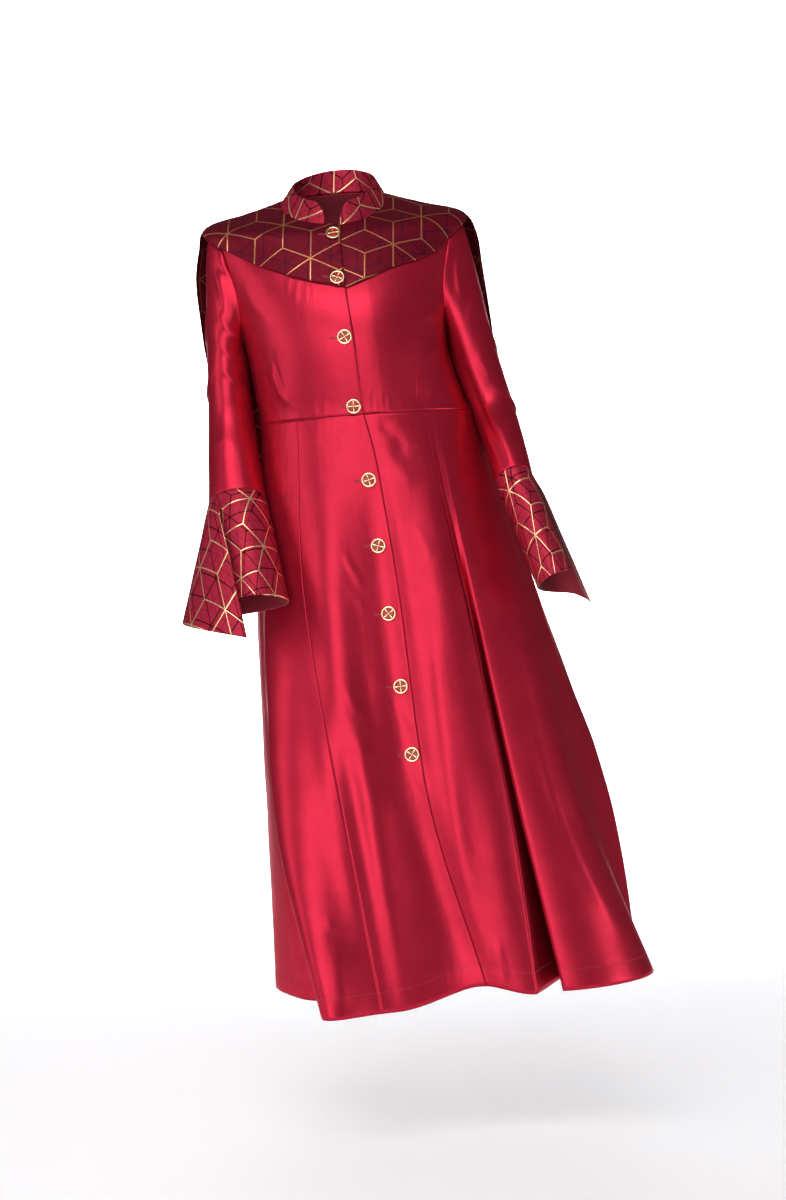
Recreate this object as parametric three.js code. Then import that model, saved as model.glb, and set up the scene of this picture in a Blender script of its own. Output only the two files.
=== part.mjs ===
import * as THREE from "three";

// A long clergy robe in its worn shape: fitted bodice, flared skirt in six gores, set-in sleeves with
// split flared cuffs, stand collar, and a cape whose front is a short pointed yoke and whose back hangs
// behind the arms. Millimetres; x runs to the right as the front is seen, y away from the viewer and z
// up. The origin is the middle of the neck opening, between the shoulder seams. The names call left and
// right as the robe is worn, so the right front is on the viewer's left.

const satinWall = 1.6;
const brocadeWall = 1.6;
const buttonGap = 0.3; // between a button's shank and the cloth
const seamGap = 0.4;
const roll = 0.07; // rise per millimetre of x: the robe hangs higher on the viewer's right
const underlapDepth = 2.4; // the left front lies this far inside the right front, at the buttons
const capeLift = 4.5; // the cape's middle surface above the bodice's
const capeNeckInset = 3.4; // from the neckline to the cape, which leaves room for the collar
const collarHeight = 41;
const collarWall = 2.4;
const collarCorner = 27; // length of the collar's round front corners
const collarCut = 0.92; // how far down its end the corner's curve reaches, squared
const collarLean = 0.25; // how far the collar leans in at its top, as a share of the neck's half width
const collarFrom = 0.5; // the angles of the collar's front ends
const collarTo = 345;
const neckRadius = 1.5; // millimetres of neckline to a degree
const buttonRadius = 12.5;

// Sections of the bodice, from the waist seam up to the neckline. z holds the heights at the front, side
// and back for x = 0, and mid is the front edge's x.
const bodiceSections = [
  { name: "waist", z: [-350, -348, -352], mid: 51, left: -122, right: 228, front: -132, back: 118 },
  { name: "ribs", z: [-288, -286, -290], mid: 43, left: -134, right: 203, front: -146, back: 112 },
  { name: "bust", z: [-226, -224, -222], mid: 35, left: -148, right: 188, front: -154, back: 114 },
  { name: "chest", z: [-166, -164, -154], mid: 25, left: -168, right: 192, front: -144, back: 118 },
  { name: "upper chest", z: [-107, -108, -90], mid: 17, left: -190, right: 202, front: -121, back: 114 },
  { name: "yoke", z: [-63, -56, -40], mid: 13, left: -204, right: 207, front: -100, back: 104 },
  { name: "shoulder", z: [-45, -16, 4], mid: 11, left: -206, right: 205, front: -90, back: 92 },
  { name: "mid shoulder", z: [-37, 6, 24], mid: 11, left: -150, right: 148, front: -82, back: 78 },
  { name: "neckline", z: [-31, 22, 45], mid: 10, left: -92, right: 87, front: -75, back: 58 },
];
const level = Object.fromEntries(bodiceSections.map((s, i) => [s.name, i]));
const underarm = 2.25; // level of the underarm point, between bust and chest

// The armhole's two edges: how far they run from the side line, in degrees, at each level.
const armholeEdge = [
  { at: underarm, front: 0, back: 0 },
  { at: 2.6, front: 13, back: 11 },
  { at: level["chest"], front: 20, back: 17 },
  { at: level["upper chest"], front: 26, back: 23 },
  { at: level["yoke"], front: 24, back: 22 },
  { at: 5.6, front: 14, back: 13 },
  { at: level["shoulder"], front: 0, back: 0 },
];

// Lines down the skirt, round from the right front's edge to the viewer's right, the back and the
// viewer's left. Each is a fold's crest or hollow, or a seam: its angle on the waist seam, and where
// it passes hip, knee and hem.
const hipHeight = -622;
const kneeHeight = -1005;
const skirtLines = [
  { name: "front edge", waist: 0, hip: [101, -158], knee: [150, -190], hem: [248, -216, -1276] },
  { name: "left front crest", waist: 17, hip: [144, -168], knee: [208, -206], hem: [288, -226, -1300] },
  { name: "pleat lip, front", waist: 33, hip: [203, -142], knee: [284, -176], hem: [328, -218, -1304] },
  { name: "pleat hollow", waist: 36, hip: [213, -129], knee: [308, -100], hem: [382, -82, -1306] },
  { name: "pleat lip, side", waist: 40, hip: [221, -136], knee: [302, -162], hem: [372, -192, -1306] },
  { name: "left side crest", waist: 56, hip: [262, -122], knee: [392, -142], hem: [498, -166, -1305] },
  { name: "left side turn", waist: 76, hip: [306, -72], knee: [411, -76], hem: [551, -8, -1309] },
  { name: "left side hollow", waist: 90, hip: [327, -8], knee: [430, 14], hem: [496, 66, -1310] },
  { name: "left side seam", waist: 103, hip: [329, 36], knee: [480, 92], hem: [545, 150, -1318] },
  { name: "left back hollow", waist: 121, hip: [278, 96], knee: [392, 146], hem: [446, 176, -1316] },
  { name: "left back crest", waist: 142, hip: [206, 140], knee: [306, 226], hem: [368, 300, -1312] },
  { name: "left back dip", waist: 160, hip: [130, 152], knee: [206, 206], hem: [262, 236, -1310] },
  { name: "back seam", waist: 180, hip: [58, 160], knee: [112, 244], hem: [168, 312, -1308] },
  { name: "right back dip", waist: 200, hip: [-12, 150], knee: [34, 192], hem: [78, 220, -1307] },
  { name: "right back crest", waist: 221, hip: [-70, 124], knee: [-40, 198], hem: [-20, 262, -1306] },
  { name: "right back hollow", waist: 242, hip: [-108, 82], knee: [-88, 112], hem: [-72, 132, -1304] },
  { name: "right side seam", waist: 262, hip: [-131, 26], knee: [-120, 42], hem: [-112, 48, -1302] },
  { name: "right side dip", waist: 280, hip: [-127, -24], knee: [-104, -50], hem: [-58, -62, -1310] },
  { name: "right side hollow", waist: 294, hip: [-118, -52], knee: [-84, -116], hem: [-8, -112, -1312] },
  { name: "right side crest", waist: 304, hip: [-104, -84], knee: [-88, -196], hem: [-8, -300, -1310] },
  { name: "right front swell", waist: 312, hip: [-78, -112], knee: [-34, -230], hem: [30, -290, -1311] },
  { name: "right front seam", waist: 320, hip: [-50, -132], knee: [22, -208], hem: [88, -236, -1312] },
  { name: "right front crest", waist: 331, hip: [-14, -162], knee: [68, -226], hem: [118, -252, -1314] },
  { name: "right front hollow", waist: 343, hip: [26, -152], knee: [102, -196], hem: [168, -216, -1303] },
  { name: "button swell", waist: 352, hip: [68, -163], knee: [128, -199], hem: [210, -214, -1290] },
];
const line = Object.fromEntries(skirtLines.map((l, i) => [l.name, i]));

// Sections of each sleeve below its head, down to the cuff seam: centre, half width across and half depth.
const rightSleeveSections = [
  { x: -182, y: 4, z: -250, across: 33, deep: 58 },
  { x: -176, y: -2, z: -338, across: 37, deep: 53 },
  { x: -168, y: -36, z: -414, across: 42, deep: 47 },
  { x: -160, y: -72, z: -486, across: 47, deep: 41 },
];
const leftSleeveSections = [
  { x: 240, y: 2, z: -252, across: 38, deep: 56 },
  { x: 267, y: -14, z: -330, across: 35, deep: 49 },
  { x: 283, y: -56, z: -390, across: 33, deep: 43 },
  { x: 298, y: -94, z: -452, across: 31, deep: 39 },
];
const headBulge = 46; // how hard the sleeve head sets out from the armhole before it falls
const underarmBulge = 10; // and the same under the arm
const headStandoff = 1.8; // between the armhole's edge and the sleeve's

// The cuffs, split down the outer side: points of the hem from the slit's front edge, under the flap,
// round the arm to the flap's corner. turn is the angle where each point's line starts on the cuff seam,
// from the arm's outer side over its front.
const rightCuff = [
  { name: "panel edge", turn: 52, x: -172, y: -164, z: -653 },
  { name: "front", turn: 72, x: -144, y: -184, z: -645 },
  { name: "front inner", turn: 100, x: -117, y: -188, z: -642 },
  { name: "inner front", turn: 135, x: -88, y: -176, z: -646 },
  { name: "inner", turn: 172, x: -71, y: -156, z: -654 },
  { name: "inner back", turn: 210, x: -80, y: -134, z: -661 },
  { name: "back", turn: 250, x: -112, y: -118, z: -668 },
  { name: "back outer", turn: 285, x: -156, y: -110, z: -676 },
  { name: "outer back", turn: 322, x: -206, y: -114, z: -683 },
  { name: "outer", turn: 352, x: -243, y: -138, z: -688 },
  { name: "outer front", turn: 374, x: -236, y: -176, z: -693 },
  { name: "flap front", turn: 390, x: -206, y: -208, z: -699 },
  { name: "flap", turn: 402, x: -170, y: -224, z: -705 },
  { name: "flap corner", turn: 412, x: -134, y: -232, z: -711 },
];
const leftCuff = [
  { name: "panel edge", turn: 20, x: 385, y: -180, z: -602 },
  { name: "front", turn: 48, x: 368, y: -196, z: -605 },
  { name: "front inner", turn: 84, x: 350, y: -196, z: -612 },
  { name: "inner front", turn: 125, x: 336, y: -182, z: -624 },
  { name: "inner", turn: 165, x: 334, y: -154, z: -632 },
  { name: "inner back", turn: 205, x: 345, y: -124, z: -636 },
  { name: "back", turn: 245, x: 366, y: -104, z: -638 },
  { name: "outer back", turn: 290, x: 394, y: -98, z: -640 },
  { name: "outer", turn: 330, x: 414, y: -112, z: -648 },
  { name: "flap corner", turn: 372, x: 421, y: -144, z: -655 },
];
const flapLift = 5; // how far the flap stands off the cuff below the seam

// The yoke's hem: the bodice level that it reaches, by degrees from the front edge.
const yokeHem = {
  left: [[0, 3.4], [13, 3.62], [25, 3.9], [40, 4.15], [53, 4.5], [63, 5], [72, 5.5], [80, 5.8], [90, 6]],
  right: [[0, 3.4], [13, 3.58], [24, 3.8], [40, 4.3], [52, 4.75], [66, 5.3], [78, 5.75], [90, 6]],
};
const shoulderOverhang = 13; // how far the cape stands out past the shoulder seam's end
const overhangNarrow = 6; // how narrow that overhang is, round the shoulder
const overhangLevels = 1.4; // and how many bodice levels it takes to fade out, up and down

// The cape's back below the shoulders, hanging free behind the arms.
const capeSections = [
  { name: "tip", zSide: -44, zBack: -34, right: -232, left: 240, side: 20, back: 110, fold: 0 },
  { name: "blade", zSide: -92, zBack: -96, right: -239, left: 250, side: 50, back: 125, fold: 0 },
  { name: "arm", zSide: -170, zBack: -172, right: -231, left: 264, side: 76, back: 136, fold: 4 },
  { name: "elbow", zSide: -320, zBack: -322, right: -206, left: 284, side: 90, back: 152, fold: 11 },
  { name: "hem", zSide: -500, zBack: -504, right: -180, left: 306, side: 96, back: 178, fold: 17 },
];
const capeFolds = 4;

// Buttons, down the front: the height of the front edge beside each centre, the distance in from it, and
// how far the cloth's flat facets lie under its smooth surface there.
const buttons = [
  { height: -47, inset: 12, seat: 0.2 },
  { height: -127, inset: 13, seat: 0.4 },
  { height: -222, inset: 15.5, seat: 1 },
  { height: -333, inset: 15.5, seat: 0.3 },
  { height: -454, inset: 19, seat: 0 },
  { height: -561, inset: 22, seat: 0 },
  { height: -671, inset: 22, seat: 0 },
  { height: -789, inset: 17, seat: 0 },
  { height: -899, inset: 14, seat: -0.2 },
];

const radians = THREE.MathUtils.degToRad;
const mix = THREE.MathUtils.lerp;
const ease = (x, from, to) => THREE.MathUtils.smoothstep(x, from, to);
const half = seamGap / 2;

// A value between rows [position, value], joined by straight lines that run on past the ends.
function between(rows, position) {
  const next = rows.findIndex((row) => row[0] >= position);
  const i = next < 0 ? rows.length - 1 : Math.max(1, next);
  const [[a, low], [b, high]] = [rows[i - 1], rows[i]];
  return mix(low, high, (position - a) / (b - a));
}

// A point on the smooth curve through the points p1 and p2, with their neighbours p0 and p3: a
// Catmull-Rom curve whose steps follow the root of the spacing, so close points make no loops.
function curvePoint(p0, p1, p2, p3, t) {
  const step = (a, b) => Math.max(Math.sqrt(a.distanceTo(b)), 0.3);
  const t1 = step(p0, p1);
  const t2 = t1 + step(p1, p2);
  const t3 = t2 + step(p2, p3);
  const at = mix(t1, t2, t);
  const blend = (a, b, from, to) => a.clone().lerp(b, (at - from) / (to - from));
  const a1 = blend(p0, p1, 0, t1);
  const a2 = blend(p1, p2, t1, t2);
  const a3 = blend(p2, p3, t2, t3);
  return blend(blend(a1, a2, 0, t2), blend(a2, a3, t1, t3), t1, t2);
}

// A point at position t along points 0, 1, 2 ..., past the ends in a straight line.
function alongPoints(points, t) {
  const last = points.length - 1;
  const i = THREE.MathUtils.clamp(Math.floor(t), 0, last - 1);
  const before = points[i - 1] ?? points[0].clone().multiplyScalar(2).sub(points[1]);
  const after = points[i + 2] ?? points[last].clone().multiplyScalar(2).sub(points[last - 1]);
  return curvePoint(before, points[i], points[i + 1], after, t - i);
}

// A point of one bodice section, at an angle from the front edge towards the viewer's right.
function sectionPoint(section, angle) {
  const sine = Math.sin(radians(angle));
  const cosine = Math.cos(radians(angle));
  const x = section.mid + sine * (sine > 0 ? section.right - section.mid : section.mid - section.left);
  const y = cosine > 0 ? cosine * section.front : -cosine * section.back;
  const [zFront, zSide, zBack] = section.z;
  return new THREE.Vector3(x, y, mix(zSide, cosine > 0 ? zFront : zBack, Math.abs(cosine)) + roll * x);
}

const bodicePoint = (angle, at) => alongPoints(bodiceSections.map((s) => sectionPoint(s, angle)), at);

// A point of the skirt: along the lines round the robe, and down from the waist (0) to the hem (3).
function skirtPoint(around, down) {
  const count = skirtLines.length;
  const i = Math.floor(around);
  const near = [-1, 0, 1, 2].map((k) => skirtLines[(((i + k) % count) + count) % count]);
  const turn = (k) => near[k].waist + 360 * Math.floor((i + k - 1) / count);
  const waistAngles = [0, 1, 2, 3].map((k) => new THREE.Vector3(turn(k), 0, 0));
  const angle = curvePoint(...waistAngles, around - i).x;
  const ring = (place) => curvePoint(...near.map(place), around - i);
  const rings = [
    bodicePoint(angle, level["waist"]),
    ring((l) => new THREE.Vector3(l.hip[0], l.hip[1], hipHeight + roll * l.hip[0])),
    ring((l) => new THREE.Vector3(l.knee[0], l.knee[1], kneeHeight + roll * l.knee[0])),
    ring((l) => new THREE.Vector3(l.hem[0], l.hem[1], l.hem[2] + roll * l.hem[0])),
  ];
  return alongPoints(rings, down);
}

// A closed wall round a surface. point(u, v) is the surface's middle; offset(u, v) moves it along its
// normal, whose sense facing sets; a surface that closes on itself in u has loop true. trim holds how
// far each edge stops short of the surface's own, in millimetres: first u, last u, first v, last v.
function wall({ point, us, vs, thickness, facing = 1, offset = () => 0, loop = false, trim = [0, 0, 0, 0] }) {
  const small = 1e-3;
  const slopes = (u, v) => [
    point(u + small, v).sub(point(u - small, v)).divideScalar(2 * small),
    point(u, v + small).sub(point(u, v - small)).divideScalar(2 * small),
  ];
  const short = (k, list) => (k === 0 ? 1 : 0) * list[0] - (k === list[2] ? 1 : 0) * list[1];
  const spots = vs.flatMap((row, j) => us.map((column, i) => {
    const [across, down] = slopes(column, row);
    const u = column + short(i, [trim[0], trim[1], us.length - 1]) / across.length();
    const v = row + short(j, [trim[2], trim[3], vs.length - 1]) / down.length();
    const [along, away] = slopes(u, v);
    const normal = along.cross(away).normalize().multiplyScalar(facing);
    return [point(u, v).addScaledVector(normal, offset(u, v)), normal];
  }));
  const columns = us.length;
  const rows = vs.length;
  const positions = [];
  for (const side of [0.5, -0.5]) {
    for (const [place, normal] of spots) {
      positions.push(...place.clone().addScaledVector(normal, side * thickness).toArray());
    }
  }
  const index = [];
  const quad = (a, b, c, d) => index.push(a, b, c, a, c, d);
  const outer = (i, j) => j * columns + (i % columns);
  const inner = (i, j) => outer(i, j) + columns * rows;
  const spans = loop ? columns : columns - 1;
  for (let j = 0; j + 1 < rows; j++) {
    for (let i = 0; i < spans; i++) {
      quad(outer(i, j), outer(i + 1, j), outer(i + 1, j + 1), outer(i, j + 1));
      quad(inner(i, j), inner(i, j + 1), inner(i + 1, j + 1), inner(i + 1, j));
    }
  }
  for (let i = 0; i < spans; i++) {
    quad(outer(i + 1, 0), outer(i, 0), inner(i, 0), inner(i + 1, 0));
    quad(outer(i, rows - 1), outer(i + 1, rows - 1), inner(i + 1, rows - 1), inner(i, rows - 1));
  }
  for (let j = 0; j + 1 < rows && !loop; j++) {
    quad(outer(0, j), outer(0, j + 1), inner(0, j + 1), inner(0, j));
    quad(outer(spans, j + 1), outer(spans, j), inner(spans, j), inner(spans, j + 1));
  }
  return facingOut(new THREE.BufferGeometry()
    .setAttribute("position", new THREE.Float32BufferAttribute(positions, 3))
    .setIndex(index));
}

// Turns the faces of a closed geometry out, if they face in.
function facingOut(geometry) {
  const at = geometry.attributes.position;
  const corner = (k) => new THREE.Vector3().fromBufferAttribute(at, geometry.index.getX(k));
  let volume = 0;
  for (let k = 0; k < geometry.index.count; k += 3) {
    volume += corner(k).dot(corner(k + 1).cross(corner(k + 2)));
  }
  if (volume < 0) geometry.setIndex([...geometry.index.array].reverse());
  return geometry;
}

// Evenly spaced values from one number to another.
const steps = (from, to, count) => Array.from({ length: count + 1 }, (_, i) => mix(from, to, i / count));

const robe = new THREE.Group();

function add(name, geometry, material) {
  const mesh = new THREE.Mesh(geometry, material);
  mesh.name = name;
  robe.add(mesh);
  return mesh;
}

const satin = new THREE.MeshStandardMaterial({ color: 0xc01c3c, roughness: 0.38, metalness: 0 });
const brocadeCloth = new THREE.MeshStandardMaterial({ color: 0x8f1226, roughness: 0.5, metalness: 0 });
const gold = new THREE.MeshStandardMaterial({ color: 0xe3b565, roughness: 0.25, metalness: 1 });

// A bodice panel: angles from u 0 to 1, from the waist (v 0) to the neckline, cut back at the armhole.
const armholeAt = (at, side) => {
  const inside = at > underarm && at < level["shoulder"];
  return inside ? between(armholeEdge.map((row) => [row.at, row[side]]), at) : 0;
};
const bodiceLevels = [0, 0.6, 1.2, 1.8, underarm, 2.6, 3, 3.5, 4, 4.5, 5, 5.6, 6, 7, 8];

function bodicePanel(from, to, fromSide, toSide, columns, underlap) {
  const edge = (angle, at, side, sign) => angle + sign * (side ? armholeAt(at, side) : 0);
  const angleAt = (u, at) => mix(edge(from, at, fromSide, 1), edge(to, at, toSide, -1), u);
  return wall({
    point: (u, at) => bodicePoint(angleAt(u, at), at),
    us: steps(0, 1, columns),
    vs: bodiceLevels,
    thickness: satinWall,
    trim: [fromSide ? half : 0, toSide ? half : 0, seamGap, seamGap],
    offset: (u, at) => (underlap ? -underlapDepth * (1 - ease(angleAt(u, at), 0, 14)) : 0),
  });
}
add("bodice_front_right", bodicePanel(-90, 0, "front", null, 10), satin);
add("bodice_front_left", bodicePanel(-9, 90, null, "front", 11, true), satin);
add("bodice_back", bodicePanel(90, 270, "back", "back", 16), satin);

// The skirt's gores, each from one line to another.
const skirtRows = [0, 0.25, 0.55, 0.85, 1.15, 1.45, 1.75, 2, 2.25, 2.5, 2.75, 3];

function gore(from, to, perLine, underlap) {
  const columns = Math.round((to - from) * perLine);
  return wall({
    point: skirtPoint,
    us: steps(from, to, columns),
    vs: skirtRows,
    thickness: satinWall,
    facing: -1,
    trim: [half, half, seamGap, 0],
    offset: (u) => (underlap ? -underlapDepth * (1 - ease(u, 0, 0.5)) : 0),
  });
}
const round = skirtLines.length;
add("skirt_front_left", gore(-0.85, line["pleat lip, front"], 5, true), satin);
add("skirt_side_left", gore(line["pleat lip, front"], line["left side seam"], 4), satin);
add("skirt_back_left", gore(line["left side seam"], line["back seam"], 4), satin);
add("skirt_back_right", gore(line["back seam"], line["right side seam"], 4), satin);
add("skirt_side_right", gore(line["right side seam"], line["right front seam"], 4), satin);
add("skirt_front_right", gore(line["right front seam"], round, 4), satin);

// A sleeve section's point, at an angle from the sleeve's outer side over its front. out is 1 for the
// left sleeve and -1 for the right one; axis points down the sleeve.
function armPoint(section, axis, angle, out) {
  const front = new THREE.Vector3(0, -1, 0).addScaledVector(axis, axis.y).normalize();
  const outer = front.clone().cross(axis).normalize();
  if (outer.x * out < 0) outer.negate();
  return new THREE.Vector3(section.x, section.y, section.z)
    .addScaledVector(outer, section.across * Math.cos(radians(angle)))
    .addScaledVector(front, section.deep * Math.sin(radians(angle)));
}

// The armhole's point at that same angle: 0 is the shoulder's end, 180 the underarm.
function armholePoint(angle, out) {
  const turned = ((angle % 360) + 360) % 360;
  const side = turned < 180 ? "front" : "back";
  const at = mix(level["shoulder"], underarm, (1 - Math.cos(radians(angle))) / 2);
  const away = armholeAt(at, side) * (side === "front" ? -1 : 1);
  return bodicePoint(out * (90 + away), at);
}

const centre = (s) => new THREE.Vector3(s.x, s.y, s.z);
const sleeveAxis = (sections, i) => {
  const [a, b] = [sections[Math.max(0, i - 1)], sections[Math.min(sections.length - 1, i + 1)]];
  return centre(b).sub(centre(a)).normalize();
};

// A sleeve's point: down runs 0 to 1 over the sleeve head, then 1 more for each section.
function sleevePoint(sections, out, angle, down) {
  const rings = sections.map((s, i) => armPoint(s, sleeveAxis(sections, i), angle, out));
  if (down >= 1) return alongPoints(rings, down - 1);
  const hole = armholePoint(angle, out);
  hole.x += out * headStandoff;
  const fall = rings[0].distanceTo(hole);
  const under = (1 - Math.cos(radians(angle))) / 2;
  const away = new THREE.Vector3(out * mix(headBulge, underarmBulge, under), 0, 0);
  const end = rings[1].clone().sub(rings[0]).normalize().multiplyScalar(1.1 * fall);
  const [t, tt, ttt] = [down, down ** 2, down ** 3];
  return hole.multiplyScalar(2 * ttt - 3 * tt + 1)
    .addScaledVector(away, ttt - 2 * tt + t)
    .addScaledVector(rings[0], -2 * ttt + 3 * tt)
    .addScaledVector(end, ttt - tt);
}

const ringAngles = (count) => steps(0, 360, count).slice(0, count);

function sleeve(sections, out) {
  return wall({
    point: (angle, down) => sleevePoint(sections, out, angle, down),
    us: ringAngles(20),
    vs: [0, 0.12, 0.3, 0.5, 0.75, 1, 1.5, 2, 2.5, 3, 3.5, 4],
    thickness: satinWall,
    facing: out,
    loop: true,
    trim: [0, 0, 0, seamGap],
  });
}
add("sleeve_right", sleeve(rightSleeveSections, -1), satin);
add("sleeve_left", sleeve(leftSleeveSections, 1), satin);

// A cuff's point: u runs along the hem's points, v from the sleeve (0) down to the hem (1).
function cuffPoint(sections, points, out, u, v) {
  const last = sections.length - 1;
  const place = alongPoints(points.map((p) => new THREE.Vector3(p.turn, 0, 0)), u);
  const axis = sleeveAxis(sections, last);
  const top = armPoint(sections[last], axis, place.x, out);
  const away = top.clone().sub(centre(sections[last])).normalize();
  const inFlap = ease(u, points.length - 5, points.length - 2);
  const hem = alongPoints(points.map(centre), u);
  return top.lerp(hem, v).addScaledVector(away, flapLift * inFlap * ease(v, 0, 0.2) * (1 - v));
}

function cuff(sections, points, out) {
  return wall({
    point: (u, v) => cuffPoint(sections, points, out, u, v),
    us: steps(0, points.length - 1, 2 * points.length - 2),
    vs: [0, 0.12, 0.35, 0.65, 1],
    thickness: brocadeWall,
    facing: out,
    trim: [half, half, seamGap, 0],
  });
}
add("cuff_right", cuff(rightSleeveSections, rightCuff, -1), brocadeCloth);
add("cuff_left", cuff(leftSleeveSections, leftCuff, 1), brocadeCloth);

// The cape over the shoulders: the bodice's own surface, pushed out past the shoulder's end.
function yokePoint(angle, at) {
  const place = bodicePoint(angle, at);
  const side = Math.abs(Math.sin(radians(angle))) ** overhangNarrow;
  const nearTip = 1 - ease(Math.abs(at - level["shoulder"]), 0, overhangLevels);
  place.x += Math.sign(Math.sin(radians(angle))) * shoulderOverhang * side * nearTip;
  return place;
}

function yoke(from, to, hem, columns, underlap) {
  const atLevel = (angle, v) => mix(level["neckline"], between(hem, Math.abs(angle)), v);
  return wall({
    point: (u, v) => yokePoint(u, atLevel(u, v)),
    us: steps(from, to, columns),
    vs: steps(0, 1, 8),
    thickness: brocadeWall,
    facing: -1,
    trim: [from === -90 ? half : 0, to === 90 ? half : 0, capeNeckInset, 0],
    offset: (u) => capeLift - (underlap ? (underlapDepth - 0.1) * (1 - ease(u, 0, 10)) : 0),
  });
}
add("cape_front_right", yoke(-90, 0, yokeHem.right, 12), brocadeCloth);
add("cape_front_left", yoke(-7, 90, [[-7, 3.4], ...yokeHem.left], 13, true), brocadeCloth);

// The cape's back: over the shoulders as the yoke, then hanging in soft folds.
function capePoint(angle, down) {
  const overShoulder = (at) => {
    const small = 0.05;
    const place = yokePoint(angle, at);
    const along = yokePoint(angle + small, at).sub(yokePoint(angle - small, at));
    const up = yokePoint(angle, at + small).sub(yokePoint(angle, at - small));
    return place.addScaledVector(along.cross(up).normalize(), capeLift);
  };
  const fromNeck = level["neckline"] - level["shoulder"];
  if (down <= fromNeck) return overShoulder(level["neckline"] - down);
  const hanging = capeSections.map((s) => {
    const sine = Math.sin(radians(angle));
    const cosine = -Math.cos(radians(angle));
    const middle = (s.left + s.right) / 2;
    const x = middle + sine * (s.left - s.right) / 2;
    const wave = Math.cos(radians(capeFolds * (angle - 180) * 2)) * Math.abs(cosine) ** 0.5;
    const y = mix(s.side, s.back, cosine) + s.fold * wave;
    return new THREE.Vector3(x, y, mix(s.zSide, s.zBack, cosine) + roll * x);
  });
  const top = [level["mid shoulder"], level["shoulder"]].map(overShoulder);
  return alongPoints([...top, ...hanging], down - 1);
}
add("cape_back", wall({
  point: capePoint,
  us: steps(90, 270, 26),
  vs: [0, 0.5, 1, 1.5, 2.01, 2.5, 3, 4, 5, 6, 7],
  thickness: brocadeWall,
  trim: [half, half, capeNeckInset, 0],
}), brocadeCloth);

// The stand collar: a band on the neckline, open and round-cornered at the front. turn is the angle round
// the neck, rise the share of the collar's height.
function collarPoint(turn, rise) {
  const base = bodicePoint(turn, level["neckline"]);
  const lean = new THREE.Vector3(-collarLean * base.x, -collarLean * 0.4 * Math.max(base.y, 0), 0);
  const up = Math.sqrt(collarHeight ** 2 - lean.lengthSq());
  return base.addScaledVector(lean, rise).add(new THREE.Vector3(0, 0, up * rise));
}

// How much of its height the collar has, a distance along from its nearest front end.
const collarShare = (run) => Math.sqrt(1 - (1 - Math.min(run / collarCorner, 1)) ** 2 * collarCut);
const collarFoot = 0.05; // the share of the height left free above the neckline
const collarAngles = [
  ...[0, 1, 3, 6, 10, 15, 21].map((a) => collarFrom + a),
  ...steps(28, 322, 22),
  ...[21, 15, 10, 6, 3, 1, 0].map((a) => collarTo - a),
];
const collarRun = (turn) => Math.min(turn - collarFrom, collarTo - turn) * neckRadius;
add("collar", wall({
  point: (turn, v) => collarPoint(turn, mix(collarFoot, collarShare(Math.max(collarRun(turn), 0)), v)),
  us: collarAngles,
  vs: [0, 0.5, 1],
  thickness: collarWall,
  offset: () => collarWall / 2,
}), brocadeCloth);

// The front edge of the robe's right front, by height, and a point inset from it on the outer face.
function frontPlace(height, inset) {
  const find = (place, low, high, seek) => {
    for (let i = 0; i < 40; i++) {
      const middle = (low + high) / 2;
      if (seek(place(middle))) high = middle;
      else low = middle;
    }
    return low;
  };
  const onSkirt = height < bodicePoint(0, 0).z;
  const surface = onSkirt
    ? (across, down) => skirtPoint(round - across, down)
    : (across, at) => bodicePoint(-across, at);
  const lift = height > -140 ? capeLift + brocadeWall / 2 : satinWall / 2;
  const down = onSkirt
    ? find((v) => surface(0, v), 0, 3, (p) => p.z < height)
    : find((v) => surface(0, v), 0, 8, (p) => p.z > height);
  const edge = surface(0, down);
  const across = find((u) => surface(u, down), 0, onSkirt ? 2 : 30, (p) => p.distanceTo(edge) > inset);
  const small = onSkirt ? 0.02 : 0.5;
  const place = surface(across, down);
  const sideways = surface(across - small, down).sub(surface(across + small, down));
  const upward = surface(across, down - 0.01).sub(surface(across, down + 0.01));
  const normal = sideways.cross(upward).multiplyScalar(onSkirt ? 1 : -1).normalize();
  return { place: place.addScaledVector(normal, lift + buttonGap), normal };
}

// A shank button: half profile from the shank's foot over the rim to the sunk middle.
const buttonProfile = [
  [0, 0], [3, 0], [3, 1.6], [10.5, 1.8], [buttonRadius, 3.4], [11.4, 5.2], [9.4, 4.9], [8.8, 3.9], [0, 3.9],
].map(([radius, height]) => new THREE.Vector2(radius, height));

buttons.forEach(({ height, inset, seat }, i) => {
  const { place, normal } = frontPlace(height, inset);
  const button = add(`button_${i + 1}`, new THREE.LatheGeometry(buttonProfile, 14), gold);
  button.position.copy(place).addScaledVector(normal, -seat);
  button.quaternion.setFromUnitVectors(new THREE.Vector3(0, 1, 0), normal);
});

export default robe;
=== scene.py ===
import math

import bpy
import numpy as np
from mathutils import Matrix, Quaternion, Vector


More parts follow.
